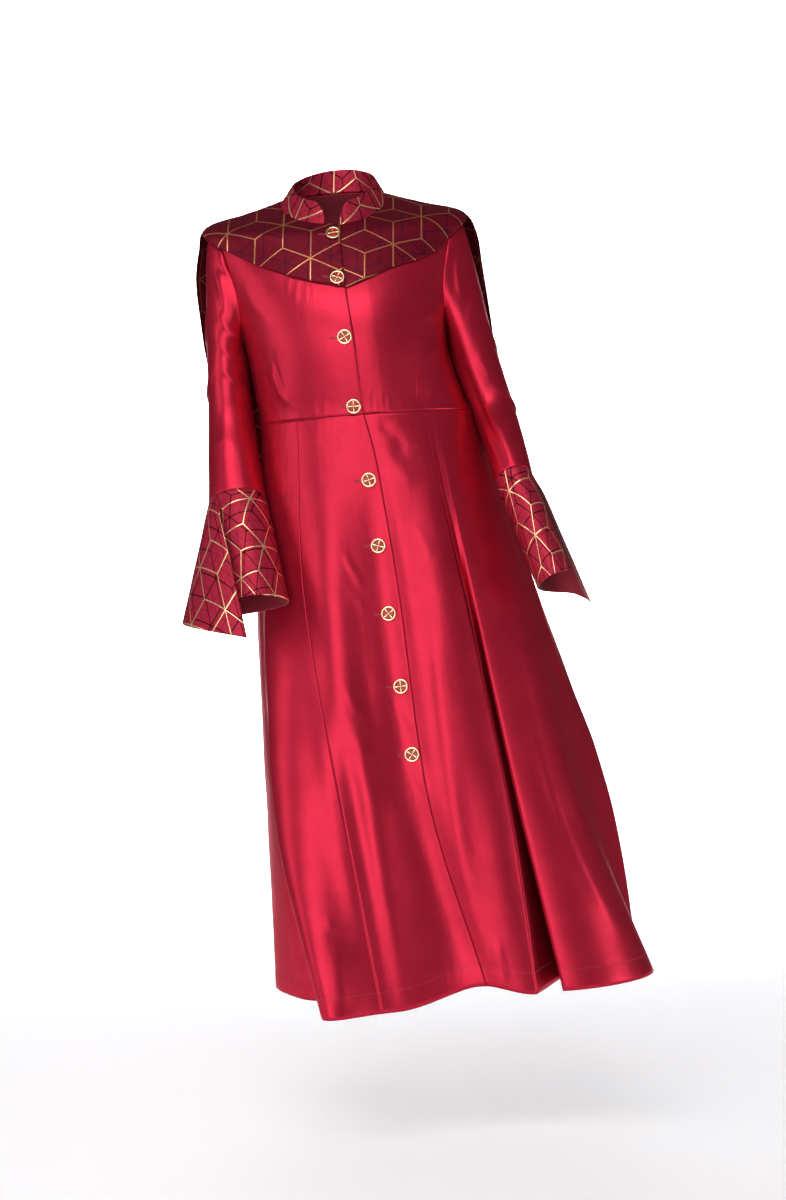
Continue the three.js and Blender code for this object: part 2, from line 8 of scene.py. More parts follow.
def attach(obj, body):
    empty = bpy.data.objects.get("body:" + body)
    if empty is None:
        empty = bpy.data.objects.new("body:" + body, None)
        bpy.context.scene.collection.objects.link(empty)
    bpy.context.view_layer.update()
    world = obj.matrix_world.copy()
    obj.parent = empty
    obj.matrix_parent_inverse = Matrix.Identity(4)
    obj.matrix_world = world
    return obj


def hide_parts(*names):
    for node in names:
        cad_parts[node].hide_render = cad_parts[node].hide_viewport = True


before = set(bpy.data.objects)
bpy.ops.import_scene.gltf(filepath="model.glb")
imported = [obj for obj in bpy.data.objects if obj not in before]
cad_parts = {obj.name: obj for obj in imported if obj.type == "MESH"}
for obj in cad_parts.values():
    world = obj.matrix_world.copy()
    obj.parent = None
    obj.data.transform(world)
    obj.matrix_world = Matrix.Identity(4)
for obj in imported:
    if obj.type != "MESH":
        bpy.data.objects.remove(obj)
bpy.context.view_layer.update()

# A long satin clergy robe with brocade collar, yoke, cape and cuffs, in its worn shape.
# Shapes are worked out in millimetres in the solids' own frame, then scaled to metres.
mm = 0.001
detail = 1  # share of the grids' rows and columns

# Smooth curves and small helpers.


def mix(a, b, t):
    return a + (b - a) * t


def ease(x, start, end):
    t = np.clip((x - start) / (end - start), 0, 1)
    return t * t * (3 - 2 * t)


def unit(vectors):
    return vectors / np.maximum(np.linalg.norm(vectors, axis=-1, keepdims=True), 1e-9)


def vector(x, y, z):
    return np.stack(np.broadcast_arrays(x, y, z), axis=-1).astype(float)


# The smooth curve from p1 to p2, whose steps follow the root of the spacing and are never tiny.
def curvePoint(p0, p1, p2, p3, t):
    def step(a, b, least=0.3):
        return np.maximum(np.sqrt(np.linalg.norm(b - a, axis=-1, keepdims=True)), least)

    t1 = step(p0, p1)
    t2 = t1 + step(p1, p2)
    t3 = t2 + step(p2, p3)
    at = mix(t1, t2, np.asarray(t)[..., None])

    def blend(a, b, start, end):
        return a + (b - a) * (at - start) / (end - start)

    a1, a2, a3 = blend(p0, p1, 0, t1), blend(p1, p2, t1, t2), blend(p2, p3, t2, t3)
    return blend(blend(a1, a2, 0, t2), blend(a2, a3, t1, t3), t1, t2)


# The point at position t along points 0, 1, 2 ..., straight on past the ends.
def alongPoints(points, t):
    t = np.asarray(t, float)
    points = np.broadcast_to(points, (len(points),) + t.shape + (3,))
    points = np.concatenate([[2 * points[0] - points[1]], points, [2 * points[-1] - points[-2]]])
    i = np.clip(np.floor(t).astype(int), 0, len(points) - 4)
    near = [np.take_along_axis(points, (i + k)[None, ..., None], axis=0)[0] for k in range(4)]
    return curvePoint(*near, t - i)


# Materials.
def linear(code):
    channels = [int(code[i : i + 2], 16) / 255 for i in (1, 3, 5)]
    return [c / 12.92 if c <= 0.04045 else ((c + 0.055) / 1.055) ** 2.4 for c in channels] + [1]


# Adds a node: settings are its own properties or its inputs' values, links its inputs' sources.
def addNode(tree, kind, settings, links):
    node = tree.nodes.new(kind)
    for name, value in settings.items():
        if isinstance(name, str) and hasattr(node, name):
            setattr(node, name, value)
        else:
            node.inputs[name].default_value = value
    for name, source in links.items():
        tree.links.new(source, node.inputs[name])
    return node


def newMaterial(name, surface):
    material = bpy.data.materials.new(name)
    material.use_nodes = True
    shader = material.node_tree.nodes["Principled BSDF"]
    for socket, value in surface.items():
        shader.inputs[socket].default_value = value
    return material, material.node_tree, shader


# Dyed filament satin: the long floats lie side by side and are dyed right through, so the highlight
# takes the dye's colour and runs in broad soft bands along each fold.
satinLook = {
    "colour": "#CA2640",
    "deep": "#B31C35",
    "slubWide": 1.2,  # millimetres across a thick yarn; the real 0.1 mm floats are too fine to draw
    "slubLong": 26,
    "slubHigh": 0.075,
    "streakWide": 9,  # uneven warp tension, seen where a highlight breaks off
    "streakLong": 110,
    "streakHigh": 0.14,
    "dentWide": 17,  # shallow dents left by handling
    "dentLong": 42,
    "dentHigh": 0.36,
    "cloudSize": 45,
}
satin, tree, shader = newMaterial("dyed filament satin, woven", {
    "Metallic": 0.72,
    "Roughness": 0.37,
    "Specular IOR Level": 0.7,
    "Specular Tint": linear("#EC9CA8"),
    "Anisotropic": 0.4,
})
place = addNode(tree, "ShaderNodeUVMap", {"uv_map": "cloth"}, {})
yarns = addNode(tree, "ShaderNodeMapping", {
    "Scale": (1 / satinLook["slubLong"], 1 / satinLook["slubWide"], 1),
}, {"Vector": place.outputs[0]})
slubs = addNode(tree, "ShaderNodeTexNoise", {"Scale": 1, "Detail": 2}, {"Vector": yarns.outputs[0]})
warp = addNode(tree, "ShaderNodeMapping", {
    "Scale": (1 / satinLook["streakWide"], 1 / satinLook["streakLong"], 1),
}, {"Vector": place.outputs[0]})
streaks = addNode(tree, "ShaderNodeTexNoise", {"Scale": 1, "Detail": 3}, {"Vector": warp.outputs[0]})
clouds = addNode(tree, "ShaderNodeTexNoise", {"Scale": 1 / satinLook["cloudSize"], "Detail": 3}, {
    "Vector": place.outputs[0],
})
tint = addNode(tree, "ShaderNodeMix", {
    "data_type": "RGBA", 6: linear(satinLook["deep"]), 7: linear(satinLook["colour"]),
}, {0: clouds.outputs[0]})
handled = addNode(tree, "ShaderNodeMapping", {
    "Scale": (1 / satinLook["dentWide"], 1 / satinLook["dentLong"], 1), "Rotation": (0, 0, 0.3),
}, {"Vector": place.outputs[0]})
dents = addNode(tree, "ShaderNodeTexNoise", {"Scale": 1, "Detail": 1, "Distortion": 0.6}, {
    "Vector": handled.outputs[0],
})
dented = addNode(tree, "ShaderNodeBump", {"Strength": 1, "Distance": satinLook["dentHigh"] * mm}, {
    "Height": dents.outputs[0],
})
drawn = addNode(tree, "ShaderNodeBump", {"Strength": 1, "Distance": satinLook["streakHigh"] * mm}, {
    "Height": streaks.outputs[0], "Normal": dented.outputs[0],
})
grain = addNode(tree, "ShaderNodeBump", {"Strength": 1, "Distance": satinLook["slubHigh"] * mm}, {
    "Height": slubs.outputs[0], "Normal": drawn.outputs[0],
})
floats = addNode(tree, "ShaderNodeTangent", {"direction_type": "UV_MAP", "uv_map": "cloth"}, {})
tree.links.new(floats.outputs[0], shader.inputs["Tangent"])
tree.links.new(tint.outputs[2], shader.inputs["Base Color"])
tree.links.new(grain.outputs[0], shader.inputs["Normal"])

# The satin's dull reverse: its short floats scatter the light, so the inside is matt and darker.
reverse, tree, shader = newMaterial("satin reverse, woven", {
    "Base Color": linear("#8E1028"), "Roughness": 0.75, "Sheen Weight": 0.2, "Sheen Roughness": 0.5,
})
place = addNode(tree, "ShaderNodeUVMap", {"uv_map": "cloth"}, {})
weave = addNode(tree, "ShaderNodeTexNoise", {"Scale": 1.2, "Detail": 2}, {"Vector": place.outputs[0]})
rough = addNode(tree, "ShaderNodeBump", {"Strength": 1, "Distance": 0.1 * mm}, {"Height": weave.outputs[0]})
tree.links.new(rough.outputs[0], shader.inputs["Normal"])


# Lines of a tumbling-blocks lattice, 1 on a line and 0 off it. Its points form a triangular net of
# the given edge with a six-armed star at the origin; each row leaves out every third edge.
def latticeLines(tree, place, edge, width, soft):
    high = edge * math.sqrt(3) / 2
    total = None
    for turn in (0, 60, 120):
        c, s = math.cos(math.radians(turn)), math.sin(math.radians(turn))
        rows, runs = [
            addNode(tree, "ShaderNodeVectorMath", {"operation": "DOT_PRODUCT", 1: direction}, {0: place})
            for direction in ((-s / high, c / high, 0), (c / edge, s / edge, 0))
        ]
        steps = [
            # operation and fixed inputs, then linked inputs
            ("row", "ROUND", {}, {0: rows.outputs[1]}),
            ("off", "SUBTRACT", {}, {0: rows.outputs[1], 1: "row"}),
            ("away", "ABSOLUTE", {}, {0: "off"}),
            ("shift", "MULTIPLY", {1: 1.5}, {0: "row"}),
            ("run", "SUBTRACT", {}, {0: runs.outputs[1], 1: "shift"}),
            ("third", "WRAP", {1: 3.0, 2: 0.0}, {0: "run"}),
            ("middle", "SUBTRACT", {1: 1.5}, {0: "third"}),
            ("far", "ABSOLUTE", {}, {0: "middle"}),
            ("drawn", "GREATER_THAN", {1: 0.5}, {0: "far"}),
        ]
        made = {}
        for name, operation, fixed, linked in steps:
            links = {k: made[v].outputs[0] if isinstance(v, str) else v for k, v in linked.items()}
            made[name] = addNode(tree, "ShaderNodeMath", {"operation": operation, **fixed}, links)
        line = addNode(tree, "ShaderNodeMapRange", {
            1: (width / 2 + soft) / high, 2: (width / 2 - soft) / high, 3: 0, 4: 1,
        }, {0: made["away"].outputs[0]})
        kept = addNode(tree, "ShaderNodeMath", {"operation": "MULTIPLY"}, {
            0: line.outputs[0], 1: made["drawn"].outputs[0],
        })
        total = kept if total is None else addNode(tree, "ShaderNodeMath", {"operation": "MAXIMUM"}, {
            0: total.outputs[0], 1: kept.outputs[0],
        })
    return total.outputs[0]


# Brocade: a crimson satin ground with a tumbling-blocks figure in flat gold lurex, which mirrors the
# light where it faces it, over a smaller one in dark matt yarn. The yoke and cape are cut across the
# cloth and slope up over the shoulders, so there the ground's floats turn from the light. They take a
# darker copy of the brocade whose ground, gold and dark yarn carry painted shade for that.
brocadeFigure = {
    "edge": 54,  # millimetres along one edge of the gold figure
    "goldWidth": 1.8,
    "darkEdge": 43,
    "darkWidth": 2.1,
    "fineEdge": 21.5,
    "fineWidth": 1.0,
    "fineShare": 0.6,
    "darkShift": (19, 31, 0),  # the dark figures' place beside the gold one
    "goldSoft": 0.35,  # half the width over which a line's side fades
    "darkSoft": 0.4,
    "picks": (0.06, 1.1, 1),  # scale of the ground's uneven picks
    "relief": 0.12,
}
brocadeCuts = {
    # ground where it faces the light and where it doesn't, gold, dark yarn, and how strongly that shows
    "along": {"ground": "#BE2E48", "deep": "#9C1E36", "gold": "#FFD2A0", "dark": "#26040E", "ink": 1},
    # the darker copy for the yoke and cape: the same brocade with painted shade in every colour
    "across": {"ground": "#80142A", "deep": "#620C1E", "gold": "#DC9A68", "dark": "#3A1030", "ink": 0.8},
}


def makeBrocade(name, cut):
    figure = brocadeFigure
    material, tree, shader = newMaterial(name, {
        "Specular IOR Level": 0.3, "Specular Tint": linear("#E0A080"),
    })
    place = addNode(tree, "ShaderNodeUVMap", {"uv_map": "pattern"}, {})
    gold = latticeLines(tree, place.outputs[0], figure["edge"], figure["goldWidth"], figure["goldSoft"])
    moved = addNode(tree, "ShaderNodeVectorMath", {"operation": "ADD", 1: figure["darkShift"]}, {
        0: place.outputs[0],
    })
    dark = latticeLines(tree, moved.outputs[0], figure["darkEdge"], figure["darkWidth"], figure["darkSoft"])
    fine = latticeLines(tree, moved.outputs[0], figure["fineEdge"], figure["fineWidth"], figure["darkSoft"])
    ribs = addNode(tree, "ShaderNodeMapping", {"Scale": figure["picks"]}, {"Vector": place.outputs[0]})
    picks = addNode(tree, "ShaderNodeTexNoise", {"Scale": 1, "Detail": 2}, {"Vector": ribs.outputs[0]})
    ground = addNode(tree, "ShaderNodeMix", {
        "data_type": "RGBA", 6: linear(cut["deep"]), 7: linear(cut["ground"]),
    }, {0: picks.outputs[0]})
    fineShare = addNode(tree, "ShaderNodeMath", {"operation": "MULTIPLY", 1: figure["fineShare"]}, {0: fine})
    inked = addNode(tree, "ShaderNodeMath", {"operation": "MAXIMUM"}, {0: dark, 1: fineShare.outputs[0]})
    inkShare = addNode(tree, "ShaderNodeMath", {"operation": "MULTIPLY", 1: cut["ink"]}, {
        0: inked.outputs[0],
    })
    figured = addNode(tree, "ShaderNodeMix", {"data_type": "RGBA", 7: linear(cut["dark"])}, {
        0: inkShare.outputs[0], 6: ground.outputs[2],
    })
    gilded = addNode(tree, "ShaderNodeMix", {"data_type": "RGBA", 7: linear(cut["gold"])}, {
        0: gold, 6: figured.outputs[2],
    })
    metal = addNode(tree, "ShaderNodeMapRange", {3: 0.45, 4: 0.75}, {0: gold})
    polish = addNode(tree, "ShaderNodeMapRange", {3: 0.46, 4: 0.22}, {0: gold})
    relief = addNode(tree, "ShaderNodeMath", {"operation": "MULTIPLY_ADD", 1: 0.3}, {
        0: picks.outputs[0], 2: gold,
    })
    raised = addNode(tree, "ShaderNodeBump", {"Strength": 1, "Distance": figure["relief"] * mm}, {
        "Height": relief.outputs[0],
    })
    tree.links.new(gilded.outputs[2], shader.inputs["Base Color"])
    tree.links.new(metal.outputs[0], shader.inputs["Metallic"])
    tree.links.new(polish.outputs[0], shader.inputs["Roughness"])
    tree.links.new(raised.outputs[0], shader.inputs["Normal"])
    return material


brocade = makeBrocade("brocade, woven with gold lurex", brocadeCuts["along"])
# A darker copy of the brocade, with painted shade, for the yoke and cape on the shoulders.
brocadeShadedCopy = makeBrocade("brocade with gold lurex, cut across, with painted shade", brocadeCuts["across"])

# Cast and gold-plated zinc: a bright mirror with soft casting waves that break the reflections up.
castGold, tree, shader = newMaterial("gold-plated zinc, cast", {
    "Base Color": linear("#F8DDB0"), "Metallic": 1, "Roughness": 0.27,
})
place = addNode(tree, "ShaderNodeTexCoord", {}, {})
waves = addNode(tree, "ShaderNodeTexNoise", {"Scale": 900, "Detail": 2}, {"Vector": place.outputs["Object"]})
cast = addNode(tree, "ShaderNodeBump", {"Strength": 1, "Distance": 0.04 * mm}, {"Height": waves.outputs[0]})
tree.links.new(cast.outputs[0], shader.inputs["Normal"])

# Fired enamel: clear red glass over the metal, glossy, with darker pools where it lies deeper.
enamel, tree, shader = newMaterial("red enamel, fired", {
    "Roughness": 0.3, "Specular IOR Level": 0.4, "Coat Weight": 0.15, "Coat Roughness": 0.08,
})
place = addNode(tree, "ShaderNodeTexCoord", {}, {})
pools = addNode(tree, "ShaderNodeTexNoise", {"Scale": 260, "Detail": 1}, {"Vector": place.outputs["Object"]})
depth = addNode(tree, "ShaderNodeMix", {"data_type": "RGBA", 6: linear("#5E0506"), 7: linear("#C8200C")}, {
    0: pools.outputs[0],
})
tree.links.new(depth.outputs[2], shader.inputs["Base Color"])

# Spun polyester sewing thread: twisted, so it catches small highlights across each stitch.
thread, tree, shader = newMaterial("polyester sewing thread, spun", {
    "Base Color": linear("#A81C36"), "Roughness": 0.5, "Sheen Weight": 0.3,
})
place = addNode(tree, "ShaderNodeTexCoord", {}, {})
twist = addNode(tree, "ShaderNodeTexWave", {"Scale": 900, "Distortion": 2}, {
    "Vector": place.outputs["Object"],
})
wound = addNode(tree, "ShaderNodeBump", {"Strength": 1, "Distance": 0.05 * mm}, {"Height": twist.outputs[1]})
tree.links.new(wound.outputs[0], shader.inputs["Normal"])
print("materials made")


# Surface detail that the cloth pieces share.
swellLook = {
    "seed": 7,
    "count": 14,
    "shortest": 70,  # millimetres from crest to crest
    "longest": 180,
    "high": 0.14,
}
rng = np.random.default_rng(swellLook["seed"])
swellRange = swellLook["longest"] - swellLook["shortest"]
swellWaves = [
    # direction, wavelength and phase of one slow swell of the cloth
    (unit(rng.normal(size=3)), swellLook["shortest"] + swellRange * rng.random(), 6.28 * rng.random())
    for _ in range(swellLook["count"])
]


# The slow unevenness of hanging cloth, within about a millimetre.
def swell(points):
    total = 0
    for direction, wavelength, phase in swellWaves:
        wave = np.sin(points @ direction * 6.283 / wavelength + phase)
        total = total + wave * wavelength / swellLook["longest"]
    return total * swellLook["high"]


# An uneven ripple along a seam, from -1 to 1: three short waves whose strength comes and goes.
def ripple(run, seed):
    a, b, c = np.random.default_rng(seed).random(3) * 6.28
    strength = 0.55 + 0.45 * np.sin(run / 47 + a) * np.sin(run / 83 + c)
    return strength * (np.sin(run / 2.1 + a) + 0.8 * np.sin(run / 3.4 + b) + 0.5 * np.sin(run / 5.3 + c)) / 2


# Creases as drawn on one side of the robe: ends (x or y, and z), sideways bow, width, height and
# steepness (how much narrower the side to the right of its run is). Each fades out at both ends and
# where the cloth turns away from its side.
def creased(points, normals, rows):
    total = np.zeros(points.shape[:-1])
    axes = {"front": (0, 1, -1), "back": (0, 1, 1), "left": (1, 0, 1), "right": (1, 0, -1)}
    for name, view, a1, z1, a2, z2, bow, wide, high, steep in rows:
        across, faces, sign = axes[view]
        run = np.array([a2 - a1, z2 - z1], float)
        length = np.hypot(*run)
        da, dz = points[..., across] - a1, points[..., 2] - z1
        t = (da * run[0] + dz * run[1]) / length**2
        away = (da * run[1] - dz * run[0]) / length - bow * 4 * t * (1 - t)
        near = away / (wide * np.where(away > 0, 1 - steep, 1))
        fade = ease(t, -0.05, 0.3) * ease(-t, -1.05, -0.7)
        total += high * np.exp(-(near**2)) * fade * ease(normals[..., faces] * sign, 0.05, 0.45)
    return total


# Making the pieces.
clothThick = 1.2
solidHalf = 0.8  # from the solids' middle surface to their outer face
seamLook = {
    # kind of seam: depth and width of its groove, height of its puckers
    "seam": (0.25, 1.1, 0.35),
    "flush": (0.05, 0.7, 0.3),
    "waist": (0.05, 0.7, 0.3),
    "gathered": (0.25, 1.1, 1.0),
}
edgeLook = {
    "puckerReach": 11,  # millimetres over which puckers die away from a seam
    "puckerClear": 3,
    "waistSpring": 2.4,  # how far the cloth springs out over the waist seam, and over what width
    "waistWide": 30,
    "foldDeep": 0.5,  # rounding of a folded edge
    "foldWide": 0.9,
}


def surfaceNormals(points, sign, closed):
    if closed:
        across = np.roll(points, -1, axis=0) - np.roll(points, 1, axis=0)
    else:
        across = np.gradient(points, axis=0)
    return unit(np.cross(across, np.gradient(points, axis=1))) * sign


# Distances along the grid's lines: from the first column and row, and the lines' whole lengths.
def gridRuns(points):
    runs = []
    for axis in (0, 1):
        steps = np.linalg.norm(np.diff(points, axis=axis), axis=-1)
        start = np.zeros_like(steps[:1] if axis == 0 else steps[:, :1])
        run = np.concatenate([start, np.cumsum(steps, axis=axis)], axis=axis)
        runs += [run, (run[-1:] if axis == 0 else run[:, -1:]) - run]
    return runs


# Seams are pressed in and pucker a little, folded edges are rounded, and the hem has a sewn line.
# The kinds are for the first and last columns, then the first and last rows.
def edgeShape(points, kinds, seed):
    fromFirst, fromLast, fromTop, fromEnd = gridRuns(points)
    total = np.zeros(points.shape[:-1])
    edges = [(fromFirst, fromTop), (fromLast, fromTop), (fromTop, fromFirst), (fromEnd, fromFirst)]
    for k, ((away, run), kind) in enumerate(zip(edges, kinds)):
        if kind in seamLook:
            deep, wide, pucker = seamLook[kind]
            clear = 1 - np.exp(-((away / edgeLook["puckerClear"]) ** 2))
            total -= deep * np.exp(-((away / wide) ** 2))
            total += pucker * ripple(run, seed + k) * np.exp(-away / edgeLook["puckerReach"]) * clear
        if kind == "waist":  # the cloth springs over the waist and doesn't bend sharply in its seam
            total += edgeLook["waistSpring"] * np.clip(1 - away / edgeLook["waistWide"], 0, 1) ** 2
        if kind in ("folded", "hem"):
            total -= edgeLook["foldDeep"] * np.exp(-((away / edgeLook["foldWide"]) ** 2))
        if kind == "hem":
            fromLine = away - hem["line"]
            total -= hem["lineDeep"] * np.exp(-((fromLine / hem["lineWide"]) ** 2))
            total += hem["pucker"] * ripple(run, seed + k) * np.exp(-((fromLine / hem["puckerWide"]) ** 2))
    return total


# Softens a closed form along its rows, as cloth bridges small hollows; share is 0 where it stays sharp.
def softened(points, passes, share):
    for _ in range(passes):
        middle = (np.roll(points, 1, axis=0) + np.roll(points, -1, axis=0)) / 2
        points = points + (middle - points) * 0.5 * share[..., None]
    return points


def meshPiece(name, points, patterns, materials, closed=False, flip=False):
    columns, rows = points.shape[:2]
    spans = columns if closed else columns - 1
    i, j = np.meshgrid(np.arange(spans), np.arange(rows - 1), indexing="ij")
    corners = [(i, j), (i + 1, j), (i + 1, j + 1), (i, j + 1)]
    if flip:
        corners = corners[::-1]
    faces = np.stack([(a % columns) * rows + b for a, b in corners], axis=-1).reshape(-1, 4)
    mesh = bpy.data.meshes.new(name)
    mesh.from_pydata((points.reshape(-1, 3) * mm).tolist(), [], faces.tolist())
    for layer, spots in patterns.items():
        if closed:
            spots = np.concatenate([spots, [2 * spots[-1] - spots[-2]]])
        values = np.stack([spots[a, b] for a, b in corners], axis=-2).reshape(-1, 2)
        mesh.uv_layers.new(name=layer).data.foreach_set("uv", values.ravel())
    for material in materials:
        mesh.materials.append(material)
    mesh.shade_smooth()
    obj = bpy.data.objects.new(name, mesh)
    bpy.context.scene.collection.objects.link(obj)
    return obj


def thicken(obj, thick):
    shell = obj.modifiers.new("thickness", "SOLIDIFY")
    shell.thickness = thick * mm
    shell.offset = -1
    shell.material_offset = len(obj.data.materials) - 1
    shell.material_offset_rim = 0


# A cloth piece over its solid: its form, its creases and the shape of its edges.
def clothPiece(name, look, surface, us, vs, sign, creases, closed=False, sink=None, pattern=None):
    u, v = np.meshgrid(us, vs, indexing="ij")
    form = surface(u, v)
    normals = surfaceNormals(form, sign, closed)
    lift = solidHalf + swell(form) + creased(form, normals, creases)
    lift = lift + edgeShape(form, look["edges"], look["seed"])
    if sink is not None:
        lift = lift - sink(u, v)
    points = form + normals * lift[..., None]
    fromFirst, _, fromTop, _ = gridRuns(form)
    flat = np.stack([
        np.broadcast_to(fromFirst.mean(axis=1, keepdims=True), u.shape),
        np.broadcast_to(fromTop.mean(axis=0, keepdims=True), u.shape),
    ], axis=-1)
    patterns = {"cloth": flat}
    if look["cloth"] == "brocade":
        patterns["pattern"] = pattern(u, v, form, flat)
    # Pieces marked across take the darker brocade copy, with painted shade.
    outside = {"satin": satin, "brocade": brocadeShadedCopy if look.get("across") else brocade}[look["cloth"]]
    materials = [outside, outside if look.get("lined") else reverse]
    obj = meshPiece(f"{name}_cloth", points, patterns, materials, closed, flip=sign < 0)
    thicken(obj, clothThick)
    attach(obj, "root")
    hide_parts(look["node"])
    report(name, points)
    return points, unit(normals)


# Prints a piece's area, so the cut can be checked against it.
def report(name, points):
    a = points[1:, :-1] - points[:-1, :-1]
    b = points[:-1, 1:] - points[:-1, :-1]
    area = np.linalg.norm(np.cross(a, b), axis=-1).sum() * 1e-6
    fromFirst, _, fromTop, _ = gridRuns(points)
    wide, long, low = fromFirst.max(), fromTop.max(), points[..., 2].min()
    print(f"{name}: area {area:.4f} m2, {wide:.0f} by {long:.0f} mm, low {low:.0f}")


def spread(start, end, count):
    return np.linspace(start, end, max(3, round(count * detail)))


# Closed and open grids of points joined in one piece; each part is (points, closed, material).
def joined(name, parts, materials):
    verts, faces, kinds = [], [], []
    for points, closed, kind in parts:
        columns, rows = points.shape[:2]
        spans = columns if closed else columns - 1
        first = len(verts)
        verts += points.reshape(-1, 3).tolist()
        for i in range(spans):
            for j in range(rows - 1):
                a, b = i * rows + j, ((i + 1) % columns) * rows + j
                faces.append([first + a, first + b, first + b + 1, first + a + 1])
                kinds.append(kind)
    mesh = bpy.data.meshes.new(name)
    mesh.from_pydata(verts, [], faces)
    for material in materials:
        mesh.materials.append(material)
    mesh.polygons.foreach_set("material_index", kinds)
    mesh.shade_smooth()
    obj = bpy.data.objects.new(name, mesh)
    bpy.context.scene.collection.objects.link(obj)
    return obj


# Small six-sided tubes with rounded ends, one along each run of points, flattened towards the cloth.
def tubes(paths, normals, wide, high):
    turns = np.linspace(0, 2 * np.pi, 6, endpoint=False)
    parts = []
    for path, normal in zip(paths, normals):
        along = unit(np.gradient(path, axis=0))
        aside = unit(np.cross(along, normal))
        ends = np.sqrt(np.clip(1 - np.linspace(-0.97, 0.97, len(path)) ** 6, 0, 1))[None, :, None]
        c, d = np.cos(turns)[:, None, None], np.sin(turns)[:, None, None]
        parts.append(((path[None] + (aside[None] * c * wide + normal[None] * d * high) * ends) * mm, True, 0))
    return parts


# The bodice's form: sections from the waist up to the neckline, and the armholes' edges.
roll = 0.07  # rise per millimetre of x: the robe hangs a little higher on its left
bodiceSections = [
    # name, z at the front, side and back, x of the middle and both sides, depth to front and back
    ("waist", -350, -348, -352, 51, -122, 228, -132, 118),
    ("ribs", -288, -286, -290, 43, -134, 203, -146, 112),
    ("bust", -226, -224, -222, 35, -148, 188, -154, 114),
    ("chest", -166, -164, -154, 25, -168, 192, -144, 118),
    ("upper chest", -107, -108, -90, 17, -190, 202, -121, 114),
    ("yoke", -63, -56, -40, 13, -204, 207, -100, 104),
    ("shoulder", -45, -16, 4, 11, -206, 205, -90, 92),
    ("mid shoulder", -37, 6, 24, 11, -150, 148, -82, 78),
    ("neckline", -31, 22, 45, 10, -92, 87, -75, 58),
]
level = {row[0]: i for i, row in enumerate(bodiceSections)}
underarm = 2.25
armholeEdge = [
    # bodice level, degrees to the front and back of the side line
    (underarm, 0, 0),
    (2.6, 13, 11),
    (3, 20, 17),
    (4, 26, 23),
    (5, 24, 22),
    (5.6, 14, 13),
    (6, 0, 0),
]


def sectionPoint(section, angle):
    zFront, zSide, zBack, middle, left, right, front, back = section[1:]
    s, c = np.sin(np.radians(angle)), np.cos(np.radians(angle))
    x = middle + s * np.where(s > 0, right - middle, middle - left)
    y = np.where(c > 0, c * front, -c * back)
    return vector(x, y, mix(zSide, np.where(c > 0, zFront, zBack), np.abs(c)) + roll * x)


def bodicePoint(angle, at):
    angle, at = np.broadcast_arrays(np.asarray(angle, float), np.asarray(at, float))
    return alongPoints(np.stack([sectionPoint(row, angle) for row in bodiceSections]), at)


# The armhole's edge as a smooth curve through its rows.
def armholeAt(at, side):
    rows = np.array([(row[0], row[1 if side == "front" else 2], 0) for row in armholeEdge], float)
    curve = alongPoints(rows[:, None, :], np.linspace(0, len(rows) - 1, 241))
    inside = (at > underarm) & (at < level["shoulder"])
    return np.where(inside, np.interp(at, curve[:, 0], np.maximum(curve[:, 1], 0)), 0)


bodiceCreases = [
    # name, view, ends, bow, wide, high, steep
    ("left dart", "front", 145, -222, 139, -345, 0, 3, -1.6, 0),
    ("left dart swell", "front", 154, -215, 150, -335, 2, 9, 1.2, 0),
    ("right dart", "front", -100, -250, -78, -322, 0, 3, -1.6, 0),
    ("right dart swell", "front", -108, -240, -88, -330, -2, 8, 1.3, 0),
    ("right dart pull", "front", -96, -236, -112, -300, 3, 6, -1.1, 0),
    ("right side pull", "front", -118, -262, -70, -350, -6, 7, 1.4, 0.3),
    ("right lower pull", "front", -100, -300, -50, -352, -4, 6, 1.1, 0.3),
    ("waist tick 1", "front", 62, -300, 60, -346, 1, 2.6, 0.8, 0),
    ("waist tick 2", "front", 70, -312, 70, -344, -1, 2.4, 0.7, 0),
    ("waist tick 3", "front", 79, -306, 82, -342, 1, 2.8, 0.8, 0),
    ("waist tick 4", "front", 91, -318, 93, -342, 1, 2.6, 0.5, 0),
    ("right waist tick 1", "front", -30, -322, -28, -352, 1, 3, 0.7, 0),
    ("right waist tick 2", "front", -12, -326, -14, -350, 1, 3, 0.6, 0),
    ("yoke gather 1", "front", -56, -118, -60, -172, 2, 3, 0.45, 0),
    ("yoke gather 2", "front", -44, -122, -44, -168, -1, 2.8, 0.4, 0),
    ("yoke gather 3", "front", -33, -126, -30, -160, 1, 3, 0.35, 0),
    ("yoke gather 4", "front", -68, -112, -74, -150, 2, 3.4, 0.35, 0),
    ("right armhole pull", "front", -150, -118, -96, -196, 10, 11, 1.5, 0.2),
    ("left armhole pull", "front", 186, -130, 146, -190, -8, 10, 1.3, 0.2),
    ("left underarm pull", "front", 178, -186, 150, -262, -6, 9, 1.3, 0.3),
    ("right blade pull", "back", -150, -120, -60, -210, 14, 13, 1.7, 0.2),
    ("left blade pull", "back", 166, -112, 88, -200, -12, 14, 1.6, 0.2),
    ("back waist tick 1", "back", 20, -300, 24, -350, 2, 7, 1.2, 0),
    ("back waist tick 2", "back", 66, -310, 60, -350, 2, 6, 1.0, 0),
    ("back hollow", "back", 40, -230, 44, -345, 4, 24, -2.2, 0),
    ("back fold right", "back", -78, -296, 6, -330, 7, 9, 1.9, 0.3),
    ("back fold left", "back", 172, -290, 84, -322, -7, 10, 1.8, 0.3),
    ("right side fold", "right", -40, -300, 60, -322, 6, 9, 1.4, 0.2),
    ("left side fold", "left", -50, -292, 52, -316, -6, 9, 1.5, 0.2),
]

